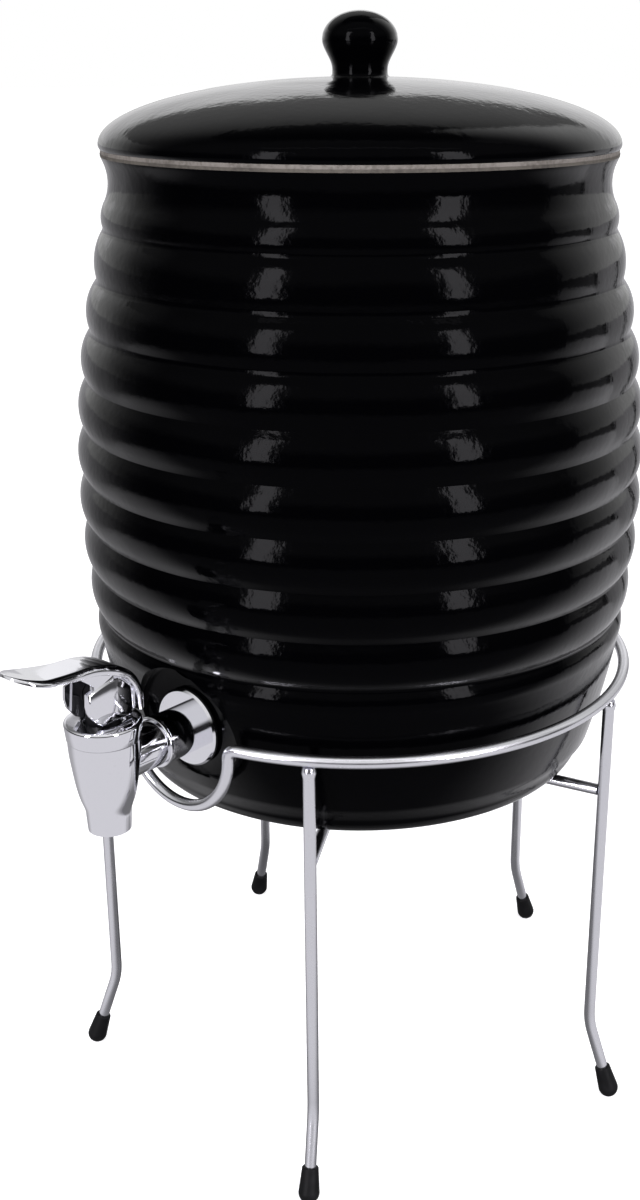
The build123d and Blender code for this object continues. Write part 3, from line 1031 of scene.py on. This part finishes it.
@dataclass
class Stand:
    """Bent wire stand with its hoop, legs and spokes, on rubber caps."""

    finishes: Finishes
    wire: float = 2.5 * MM
    hoop_radius: float = 118.897 * MM
    loop_radius: float = 28.5 * MM
    corner: float = 4.0 * MM
    knee_height: float = 37.0 * MM
    knee_bend: float = 34.0 * MM
    bead_share: float = 1.22
    bead_step: float = 1.2 * MM
    foot_radius: float = 131.497 * MM
    hub_radius: float = 22.0 * MM
    cap_length: float = 15.5 * MM
    wire_end_share: float = 0.35
    legs: int = 5
    first_leg: float = math.radians(-60)
    hoop_sides: int = 24
    spoke_sides: int = 16
    hoop_step: float = math.radians(2)
    loop_step: float = math.radians(5)
    corner_step: float = math.radians(10)
    knee_step: float = math.radians(4)
    hub_steps: int = 72
    hub_sides: int = 20
    axis: Vector = field(default_factory=crock_axis)
    hoop_level: float = field(default_factory=lambda: middle_of("top_hoop").z)
    spoke_level: float = field(default_factory=lambda: middle_of("hub_ring").z)

    def loop_angle(self) -> float:
        """Angle from the tap at which the hoop turns down."""
        reach = math.hypot(self.hoop_radius, self.corner)
        return math.asin(self.loop_radius / reach) + math.atan(self.corner / self.hoop_radius)

    def hoop_end(self) -> tuple[Vector, Vector]:
        """The hoop's end to the right of the tap.

        Returns:
            Its direction from the axis, and its place.
        """
        angle = self.loop_angle() - QUARTER
        out = Vector((math.cos(angle), math.sin(angle), 0))
        return out, self.axis + out * self.hoop_radius + UP * self.hoop_level

    def hoop(self) -> None:
        """The hoop, one open turn of wire."""
        out, place = self.hoop_end()
        wire = BentWire(self.wire, self.hoop_sides)
        wire.start(place, UP.cross(out))
        wire.bend(self.axis, UP, TURN - 2 * self.loop_angle(), self.hoop_step)
        close_up()
        settle("hoop_wire", Body.STAND, Slot.CHROME, ["top_hoop"], self.finishes.wire)

    def loop(self) -> None:
        """The dip of the hoop in front of the tap: down, half round and up again."""
        out, place = self.hoop_end()
        heading = out.cross(UP)
        wire = BentWire(self.wire, self.hoop_sides)
        wire.start(place, heading)
        near = place - UP * self.corner
        wire.bend(near, heading.cross(UP), -QUARTER, self.corner_step)
        middle = Vector((self.axis.x, (near + heading * self.corner).y, self.hoop_level - self.corner))
        wire.bend(middle, Vector((0, -1, 0)), -HALF_TURN, self.loop_step)
        left = Vector((-out.x, out.y, 0))
        far = self.axis + left * self.hoop_radius + UP * (self.hoop_level - self.corner)
        wire.bend(far, left, QUARTER, self.corner_step)
        close_up()
        settle("loop_wire", Body.STAND, Slot.CHROME, ["tap_loop"], self.finishes.wire)

    def outward(self, number: int) -> Vector:
        """Direction of one leg from the axis."""
        angle = self.first_leg + (number - 1) * TURN / self.legs
        return Vector((math.cos(angle), math.sin(angle), 0))

    def leg(self, number: int) -> None:
        """One leg, with its bead under the hoop and its knee, from the hoop to inside its cap.

        Args:
            number: The leg, from one.
        """
        out = self.outward(number)
        lean = math.atan((self.foot_radius - self.hoop_radius) / self.knee_height)
        setback = self.knee_bend * math.tan(lean / 2)
        place = self.axis + out * self.hoop_radius + UP * (self.hoop_level - self.wire)
        wire = BentWire(self.wire)
        wire.start(place, -UP)
        grow, step = math.sqrt(self.bead_share), -UP * self.bead_step
        for share in (grow, grow, 1 / grow, 1 / grow):
            wire.swell(place, step, share)
            place = place + step
        wire.run(-UP * (place.z - self.knee_height - setback))
        knee = self.axis + out * (self.hoop_radius + self.knee_bend) + UP * (self.knee_height + setback)
        wire.bend(knee, out.cross(UP), lean, self.knee_step)
        length = self.knee_height / math.cos(lean) - setback - self.cap_length * self.wire_end_share
        wire.run((out * math.sin(lean) - UP * math.cos(lean)) * length)
        close_up()
        settle(f"leg_wire_{number}", Body.STAND, Slot.CHROME, [f"leg_{number}"], self.finishes.wire)

    def spoke(self, number: int) -> None:
        """One spoke under the crock.

        Args:
            number: The leg it runs to, from one.
        """
        out = self.outward(number)
        wire = BentWire(self.wire, self.spoke_sides)
        wire.start(self.axis + out * (self.hub_radius + self.wire) + UP * self.spoke_level, out)
        wire.run(out * (self.hoop_radius - self.hub_radius - 2 * self.wire))
        close_up()
        settle(f"spoke_wire_{number}", Body.STAND, Slot.CHROME, [f"spoke_{number}"], self.finishes.wire)

    def hub(self) -> None:
        """The small ring where the spokes meet."""
        deselect_all()
        bpy.ops.mesh.primitive_torus_add(
            location=self.axis + UP * self.spoke_level,
            major_radius=self.hub_radius,
            minor_radius=self.wire,
            major_segments=self.hub_steps,
            minor_segments=self.hub_sides,
        )
        bpy.ops.object.transform_apply(location=True, rotation=True, scale=True)
        settle("hub_wire", Body.STAND, Slot.CHROME, ["hub_ring"], self.finishes.wire)

    def build(self) -> None:
        """Model the whole stand and dress its caps."""
        self.hoop()
        self.loop()
        self.hub()
        for number in range(1, self.legs + 1):
            self.leg(number)
            self.spoke(number)
            dress(self.finishes.rubber, f"foot_cap_{number}")


# The tap


@dataclass(frozen=True)
class Station:
    """One section of the lever's strap, in millimetres."""

    reach: float
    rise: float
    half_width: float
    thickness: float


@dataclass
class Lever:
    """The pressed lever: strap and paddle in one, with a wall and a cheek on each side.

    Sizes are in millimetres, places a reach forwards of the pin and a rise above it.
    """

    finishes: Finishes
    stations: tuple[Station, ...] = (
        Station(-13.0, -7.2, 8.3, 3.2),
        Station(-12.6, 0.0, 8.4, 3.4),
        Station(-9.5, 6.1, 8.5, 3.8),
        Station(-4.1, 10.4, 8.5, 3.9),
        Station(2.6, 13.3, 8.4, 3.8),
        Station(9.1, 14.8, 8.2, 3.5),
        Station(16.8, 15.4, 8.4, 3.2),
        Station(25.0, 16.6, 9.4, 2.8),
        Station(32.0, 18.0, 10.2, 2.5),
        Station(37.4, 19.8, 8.9, 2.2),
        Station(40.8, 21.1, 6.3, 1.8),
        Station(42.5, 21.9, 3.8, 1.4),
        Station(43.2, 22.3, 1.0, 0.9),
    )
    station_steps: int = 5
    top_rounding: tuple[float, int] = (2.2, 7)
    under_rounding: tuple[float, int] = (0.7, 4)
    wall: tuple[Pair, ...] = (
        (17.2, 14.6), (9.2, 8.6), (10.6, -4.0), (6.4, -8.4), (-8.8, -8.4), (-10.4, -6.0),
        (-10.9, 0.5), (-8.3, 5.2), (-3.4, 9.2), (3.0, 12.2), (9.6, 13.8),
    )
    wall_sides: Pair = (4.95, 7.1)
    wall_edge: float = 0.5
    cheek: tuple[Pair, ...] = (
        (12.6, 6.4), (6.8, 8.2), (-2.4, 10.0), (-8.9, 4.2), (-9.6, -5.6), (-8.2, -8.6),
        (5.4, -8.6), (8.4, -7.0), (12.0, -2.6), (13.0, 1.4),
    )
    cheek_sides: Pair = (5.6, 7.8)
    cheek_edge: float = 1.3
    edge_segments: int = 3
    edge_profile: float = 0.4
    pin: Vector = field(default_factory=lambda: middle_of("lever_pin"))

    def at(self, side: float, reach: float, rise: float) -> Vector:
        """Place from the pin, with sizes in millimetres."""
        return self.pin + Vector((side, -reach, rise)) * MM

    def smooth_stations(self) -> list[Station]:
        """The stations with others between them on a smooth curve.

        Returns:
            All the stations, in order.
        """
        rows = [astuple(station) for station in self.stations]
        rows = [rows[0]] + rows + [rows[-1]]
        smooth = []
        for four in zip(rows, rows[1:], rows[2:], rows[3:]):
            for step in range(self.station_steps):
                share = step / self.station_steps
                smooth.append(Station(*(between(*values, share) for values in zip(*four))))
        return smooth + [self.stations[-1]]

    def section(self, first: Station) -> bpy.types.Object:
        """The strap's first section, level, with its corners rounded.

        Args:
            first: The strap's first station.

        Returns:
            The strap, in edit mode with the whole section selected.
        """
        centre = self.at(0, first.reach, first.rise)
        deselect_all()
        bpy.ops.mesh.primitive_plane_add(size=2, location=centre)
        strap = bpy.context.object
        bpy.ops.object.transform_apply(location=True, rotation=True, scale=True)
        bpy.ops.object.mode_set(mode="EDIT")
        size = (first.half_width * MM, first.thickness / 2 * MM, 1)
        bpy.ops.transform.resize(value=size, center_override=centre)
        for top, (offset, segments) in ((True, self.top_rounding), (False, self.under_rounding)):
            bpy.ops.mesh.select_all(action="DESELECT")
            bpy.ops.object.mode_set(mode="OBJECT")
            for vertex in strap.data.vertices:
                vertex.select = (vertex.co.y > centre.y) == top
            bpy.ops.object.mode_set(mode="EDIT")
            bpy.ops.mesh.bevel(offset=offset * MM, segments=segments, affect="VERTICES")
        bpy.ops.mesh.select_all(action="SELECT")
        return strap

    def strap(self) -> bpy.types.Object:
        """Draw out the strap and the paddle from one rounded section.

        Returns:
            The strap, in object mode.
        """
        rings = self.smooth_stations()
        ways = [math.atan2(k.reach - j.reach, k.rise - j.rise) for j, k in zip(rings, rings[1:])]
        tilts = [ways[0]] + [(a + b) / 2 for a, b in zip(ways, ways[1:])] + [ways[-1]]
        strap = self.section(rings[0])
        place = self.at(0, rings[0].reach, rings[0].rise)
        bpy.ops.transform.rotate(value=-tilts[0], orient_axis="X", center_override=place)
        for before, after, turn in zip(rings, rings[1:], [b - a for a, b in zip(tilts, tilts[1:])]):
            place = self.at(0, after.reach, after.rise)
            step = place - self.at(0, before.reach, before.rise)
            bpy.ops.mesh.extrude_region_move(TRANSFORM_OT_translate={"value": step})
            bpy.ops.transform.rotate(value=-turn, orient_axis="X", center_override=place)
            width = after.half_width / before.half_width
            thick = after.thickness / before.thickness
            bpy.ops.transform.resize(value=(width, thick, thick), center_override=place)
        close_up()
        bpy.ops.object.mode_set(mode="OBJECT")
        return strap

    def plates(self, outline: tuple[Pair, ...], sides: Pair, edge: float) -> bpy.types.Object:
        """Two like plates with eased edges, one on each side of the slot.

        Args:
            outline: Side view, as reach and rise.
            sides: Places of the inner and outer face from the middle.
            edge: Width of the eased edge on the outer face.

        Returns:
            The plates as one object, in object mode.
        """
        plate = draw_line([self.at(sides[0], *point) for point in outline])
        bpy.ops.mesh.edge_face_add()
        thickness = (sides[1] - sides[0]) * MM
        bpy.ops.mesh.extrude_region_move(TRANSFORM_OT_translate={"value": (thickness, 0, 0)})
        outer = self.pin.x + sides[1] * MM - TOUCH
        select_where(plate, lambda c: c.x > outer)
        bpy.ops.mesh.bevel(
            offset=edge * MM, segments=self.edge_segments, affect="EDGES", profile=self.edge_profile
        )
        bpy.ops.mesh.select_all(action="SELECT")
        bpy.ops.mesh.duplicate()
        bpy.ops.transform.resize(value=(-1, 1, 1), center_override=self.pin)
        close_up()
        bpy.ops.object.mode_set(mode="OBJECT")
        return plate

    def build(self) -> None:
        """Join the strap with the walls and the cheeks."""
        lever = self.strap()
        use_up(self.plates(self.wall, self.wall_sides, self.wall_edge), lever, Deed.JOIN)
        use_up(self.plates(self.cheek, self.cheek_sides, self.cheek_edge), lever, Deed.JOIN)
        lever.data.materials.clear()
        lever.data.polygons.foreach_set("material_index", [0] * len(lever.data.polygons))
        settle("lever_pressed", Body.LEVER, Slot.CHROME, ["lever"], self.finishes.bright)


@dataclass
class Tap:
    """The tap under the lever: a turned bonnet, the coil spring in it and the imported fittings.

    The bonnet's outline is in millimetres, as radius and height from its top.
    """

    finishes: Finishes
    bonnet_foot: tuple[Pair, ...] = (
        (2.75, -7.0), (8.0, -7.0), (8.0, -12.3), (10.3, -12.3), (10.3, -7.8), (14.3, -7.8),
    )
    bonnet_radius: float = 15.0
    bonnet_edge: float = 1.3
    seam_edge: float = 0.5
    seam_bow_share: float = 0.3
    skirt_flare: float = 0.03
    dish: Pair = (7.5, -2.6)
    rim_points: int = 6
    dish_points: int = 4
    bonnet_steps: int = 96
    spring_wire: float = 0.45 * MM
    spring_radius: float = 5.2 * MM
    spring_turns: int = 6
    spring_sides: int = 12
    spring_steps: int = 36
    stem_stroke: float = 2.6 * MM
    axis: Vector = field(default_factory=lambda: middle_of("bonnet"))
    bonnet_height: float = field(default_factory=lambda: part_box("bonnet")[1].z)

    def bonnet(self) -> None:
        """The turned bonnet with its rounded rim and dished top."""
        edge, seam, low = self.bonnet_edge, self.seam_edge, self.bonnet_foot[-1]
        bow = seam * self.seam_bow_share
        skirt_top = (low[0] + self.skirt_flare, low[1] + seam)
        skirt = [(low[0] - seam, low[1]), (low[0] - bow, low[1] + bow), skirt_top]
        rim = oval((self.bonnet_radius - edge, -edge), edge, edge, 0, QUARTER, self.rim_points)
        lip = oval((self.dish[0] + edge, -edge), edge, edge, QUARTER, HALF_TURN, self.dish_points)
        floor = [self.dish, (self.bonnet_foot[0][0], self.dish[1]), self.bonnet_foot[0]]
        outline = [*self.bonnet_foot[:-1], *skirt, *rim, *lip, *floor]
        centre = Vector((self.axis.x, self.axis.y, self.bonnet_height))
        lathe([(radius * MM, height * MM) for radius, height in outline], centre, self.bonnet_steps)
        settle("bonnet_turned", Body.CROCK, Slot.CHROME, ["bonnet"], self.finishes.bright)

    def spring(self) -> None:
        """The coil spring, which the rising stem presses against the bonnet."""
        low, high = (corner.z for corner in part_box("stem_spring"))
        base = Vector((self.axis.x, self.axis.y, low + self.spring_wire))
        deselect_all()
        bpy.ops.mesh.primitive_circle_add(
            vertices=self.spring_sides, radius=self.spring_wire, location=base, rotation=(QUARTER, 0, 0)
        )
        spring = bpy.context.object
        bpy.ops.object.transform_apply(location=False, rotation=True, scale=True)
        bpy.ops.object.mode_set(mode="EDIT")
        bpy.ops.transform.translate(value=(self.spring_radius, 0, 0))
        bpy.ops.object.mode_set(mode="OBJECT")
        coil = spring.modifiers.new("coil", "SCREW")
        coil.iterations = self.spring_turns
        coil.screw_offset = (high - low - 2 * self.spring_wire) / self.spring_turns
        coil.steps = coil.render_steps = self.spring_steps
        bpy.ops.object.modifier_apply(modifier=coil.name)
        bpy.ops.object.transform_apply(location=True, rotation=True, scale=True)
        bpy.ops.object.mode_set(mode="EDIT")
        close_up()
        piece = settle("spring_coiled", Body.CROCK, Slot.STEEL, ["stem_spring"], self.finishes.steel)
        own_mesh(piece)

    def build(self) -> None:
        """Model the bonnet and the spring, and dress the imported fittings."""
        self.bonnet()
        self.spring()
        dress(self.finishes.bright, "tap_body", "tap_flange", "tap_shank", "shank_spacer")
        dress(self.finishes.rubber, "outer_gasket", "inner_gasket")
        dress(self.finishes.plastic, "tap_nut", "stem")
        dress(self.finishes.silicone, "seat_cup")
        dress(self.finishes.steel, "lever_pin")


# The studio


@dataclass(frozen=True)
class Room:
    """The room that the glaze and the chrome mirror, dark in front and pale behind.

    Turns are in degrees from the camera's side, positive to the right. Heights are the rise of a
    direction of length one, and reaches are in metres over the floor from the crock's axis. A
    pair is where a smooth step starts and where it ends.
    """

    left_step: Pair = (80.0, 175.0)
    right_steps: tuple[tuple[float, float, float], ...] = (
        (40.0, 60.0, 0.12), (84.0, 96.0, 0.13), (140.0, 160.0, 0.30),
    )
    pale_turn: float = 117.0
    pale_strength: float = 0.5
    seams: tuple[Pair, ...] = ((117.0, 1.6), (139.0, 1.4))
    wall_top: Pair = (0.385, 0.405)
    wall_strength: float = 0.8
    panel_turn: float = 92.0
    panel_end: Pair = (150.0, 156.0)
    panel_top: Pair = (0.86, 0.92)
    panel_strength: float = 0.6
    ceiling_step: Pair = (60.0, 150.0)
    ceiling_end: Pair = (0.80, 0.83)
    ceiling_dimming: float = 0.85
    ceiling_strength: float = 0.20
    overhead_end: Pair = (60.0, 120.0)
    overhead_step: Pair = (0.10, 0.40)
    overhead_strength: float = 0.75
    # The floor's painted glow for reflections: a painted pool of light near the object, a painted shadow
    # round the crock's foot and painted shade on the left.
    near_end: Pair = (0.45, 1.0)
    near_strength: float = 0.72
    far_strength: float = 0.55
    ahead_end: Pair = (100.0, 125.0)
    ahead_reach: float = 0.35
    side_step: Pair = (86.0, 93.0)
    side_end: Pair = (117.0, 125.0)
    side_reach: float = 0.8
    painted_shadow_end: Pair = (0.10, 0.20)
    painted_shadow_strength: float = 0.25
    left_shade: Pair = (78.0, 105.0)
    left_dimming: float = 0.4

    def walls(self, turn: Value) -> Value:
        """How bright the walls stand round the object, with two dark seams.

        Args:
            turn: Turn from the camera's side.

        Returns:
            The brightness, from zero to one.
        """
        walls = (0 - turn).ramp(*self.left_step) + (turn > self.pale_turn) * self.pale_strength
        for start, end, strength in self.right_steps:
            walls = walls + turn.ramp(start, end) * strength
        for seam, half_width in self.seams:
            walls = walls * (1 - (turn - seam).band(half_width))
        return walls

    def around(self, turn: Value, height: Value) -> Value:
        """How bright the room is in a direction: walls, a tall panel on the right, ceiling and top light.

        Args:
            turn: Turn from the camera's side.
            height: Rise of the direction.

        Returns:
            The brightness.
        """
        above = height.ramp(*self.wall_top)
        wall = self.walls(turn) * (1 - above) * self.wall_strength
        across = (turn > self.panel_turn) * (1 - turn.ramp(*self.panel_end))
        panel = across * (1 - height.ramp(*self.panel_top)) * self.panel_strength
        dimmed = 1 - height.ramp(*self.ceiling_end) * self.ceiling_dimming
        ceiling = abs(turn).ramp(*self.ceiling_step) * above * dimmed * self.ceiling_strength
        front = 1 - abs(turn).ramp(*self.overhead_end)
        overhead = front * height.ramp(*self.overhead_step) * self.overhead_strength
        return wall.larger(panel).larger(ceiling) + overhead

    def ground(self, turn: Value, reach: Value) -> Value:
        """How bright the floor glows to reflections, all painted light: a painted pool of light near the
        object with a painted shadow at the crock's foot and painted shade on the left, and like the walls
        further off.

        Args:
            turn: Turn of the place from the camera's side.
            reach: Reach of the place.

        Returns:
            The brightness.
        """
        ahead = 1 - abs(turn).ramp(*self.ahead_end)
        side = turn.ramp(*self.side_step) * (1 - turn.ramp(*self.side_end))
        near = 1 - (reach - ahead * self.ahead_reach - side * self.side_reach).ramp(*self.near_end)
        # Painted shadow on the floor's glow round the crock's foot, and below it painted shade on the left
        # side.
        painted_shadow = reach.ramp(*self.painted_shadow_end) * (1 - self.painted_shadow_strength) + self.painted_shadow_strength
        dimmed = 1 - (0 - turn).ramp(*self.left_shade) * self.left_dimming
        far = (1 - near) * self.walls(turn) * self.far_strength
        return near * painted_shadow * dimmed * self.near_strength + far


@dataclass(frozen=True)
class Lamp:
    """A soft rectangular lamp, placed and aimed from the crock's axis."""

    name: str
    turn: float
    distance: float
    level: float
    aim_level: float
    size: Pair
    power: float


@dataclass
class Studio:
    """Pale floor, white backdrop, soft lamps and the camera at the photograph's viewpoint."""

    view_turn: float = math.radians(39.5)
    view_drop: float = math.radians(20.24)
    distance: float = 0.6313
    eye_height: float = 0.4558
    lens: float = 44.64
    shift: float = -0.0333
    lamps: tuple[Lamp, ...] = (
        Lamp("left_strip", math.radians(-37), 1.5, 0.78, 0.78, (0.25, 1.3), 19.0),
        Lamp("right_strip", math.radians(39), 1.5, 0.78, 0.78, (0.25, 1.3), 19.0),
        Lamp("back_panel", HALF_TURN, 1.7, 0.85, 0.85, (3.0, 0.6), 1.0),
        Lamp("top_tube", 0.0, 0.62, 1.4, 0.42, (1.5, 0.07), 0.55),
    )
    lamp_colour: Colour = (0.96, 0.94, 1.0)
    fill_strength: float = 0.65
    floor_radius: float = 20.0
    floor_sides: int = 96
    floor_colour: Colour = (0.86, 0.86, 0.87)
    floor_glow: float = 0.6
    mirror_tint: Colour = (0.97, 0.96, 1.0)
    room: Room = field(default_factory=Room)

    def towards(self, turn: float) -> Vector:
        """Level direction from the crock, turned from the camera's side."""
        angle = self.view_turn + turn
        return Vector((math.sin(angle), -math.cos(angle), 0))

    def camera(self) -> None:
        """Camera at the photograph's viewpoint."""
        data = bpy.data.cameras.new("camera")
        data.lens = self.lens
        data.shift_x = self.shift
        camera = bpy.data.objects.new("camera", data)
        bpy.context.scene.collection.objects.link(camera)
        camera.location = crock_axis() + self.towards(0) * self.distance + UP * self.eye_height
        camera.rotation_euler = (QUARTER - self.view_drop, 0, self.view_turn)
        bpy.context.scene.camera = camera

    def hang(self, lamp: Lamp) -> None:
        """Put up one lamp.

        Args:
            lamp: Its place, aim, size and power.
        """
        data = bpy.data.lights.new(lamp.name, "AREA")
        data.shape = "RECTANGLE"
        data.size, data.size_y = lamp.size
        data.energy = lamp.power
        data.color = self.lamp_colour
        place = crock_axis() + self.towards(lamp.turn) * lamp.distance + UP * lamp.level
        aim = crock_axis() + UP * lamp.aim_level
        light = bpy.data.objects.new(lamp.name, data)
        bpy.context.scene.collection.objects.link(light)
        light.location = place
        light.rotation_euler = (aim - place).to_track_quat("-Z", "Y").to_euler()

    def bearing(self, graph: Graph, place: Value) -> Value:
        """Turn of a place or a direction from the camera's side.

        Args:
            graph: The graph that holds the nodes.
            place: Place from the crock's axis, or direction.

        Returns:
            The turn in degrees, from zero in front to 180 behind, and positive to the right.
        """
        dot = {"operation": "DOT_PRODUCT"}
        ahead, aside = tuple(self.towards(0)), tuple(self.towards(QUARTER))
        front = graph.add("ShaderNodeVectorMath", dot, {0: place, 1: ahead}, output=1)
        right = graph.add("ShaderNodeVectorMath", dot, {0: place, 1: aside}, output=1)
        return right.combine("ARCTAN2", front) * math.degrees(1)

    def world(self) -> None:
        """White to the camera, a plain fill for light, and the room for reflections."""
        world = bpy.data.worlds.new("studio")
        bpy.context.scene.world = world
        graph = Graph(world)
        way = graph.add("ShaderNodeTexCoord", output="Generated")
        height = graph.add("ShaderNodeSeparateXYZ", inputs={0: way}, output=2)
        room = self.room.around(self.bearing(graph, way), height)
        camera, glossy, through = (graph.ray(kind) for kind in Ray)
        fill = (1 - camera) * (1 - glossy - through) * self.fill_strength
        sockets = {"Color": (1.0, 1.0, 1.0, 1.0), "Strength": camera + (glossy + through) * room + fill}
        light = graph.add("ShaderNodeBackground", inputs=sockets)
        graph.add("ShaderNodeOutputWorld", inputs={"Surface": light})

    def floor(self) -> None:
        """Wide pale floor, which glows to reflections as a painted reflection of the room's ground, painted
        shadow and shade included.
        """
        deselect_all()
        bpy.ops.mesh.primitive_circle_add(
            vertices=self.floor_sides, radius=self.floor_radius, fill_type="NGON"
        )
        floor = bpy.context.object
        floor.name = "floor"
        material, graph = new_material("pale_floor")
        from_axis = {0: graph.place(), 1: tuple(crock_axis())}
        away = graph.add("ShaderNodeVectorMath", {"operation": "SUBTRACT"}, from_axis)
        reach = graph.add("ShaderNodeVectorMath", {"operation": "LENGTH"}, {0: away}, output=1)
        # Painted reflection: to glossy rays the floor is a glow, with a painted pool of light near the
        # object, a painted shadow at the crock's foot and painted shade on the left.
        ground = self.room.ground(self.bearing(graph, away), reach)
        glow = {"Color": (1.0, 1.0, 1.0, 1.0), "Strength": graph.ray(Ray.CAMERA) * self.floor_glow}
        painted_reflection = {"Color": (*self.mirror_tint, 1.0), "Strength": ground}
        plain = graph.add("ShaderNodeBsdfDiffuse", inputs={"Color": (*self.floor_colour, 1.0)})
        lit = graph.add("ShaderNodeEmission", inputs=glow)
        seen = graph.add("ShaderNodeAddShader", inputs={0: plain, 1: lit})
        painted_reflection_glow = graph.add("ShaderNodeEmission", inputs=painted_reflection)
        shaders = {0: graph.ray(Ray.GLOSSY), 1: seen, 2: painted_reflection_glow}
        graph.surface(graph.add("ShaderNodeMixShader", inputs=shaders))
        floor.data.materials.append(material)

    def build(self) -> None:
        """Set up the whole studio."""
        self.camera()
        for lamp in self.lamps:
            self.hang(lamp)
        self.world()
        self.floor()
        bpy.context.scene.view_settings.view_transform = "Standard"


def main() -> None:
    """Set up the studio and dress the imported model, one sub-assembly after the other."""
    logging.basicConfig(level=logging.INFO, format="%(message)s")
    Studio().build()
    finishes = Finishes()
    for assembly in (Crock, Lid, Stand, Lever, Tap):
        assembly(finishes).build()


if __name__ == "__main__":
    main()
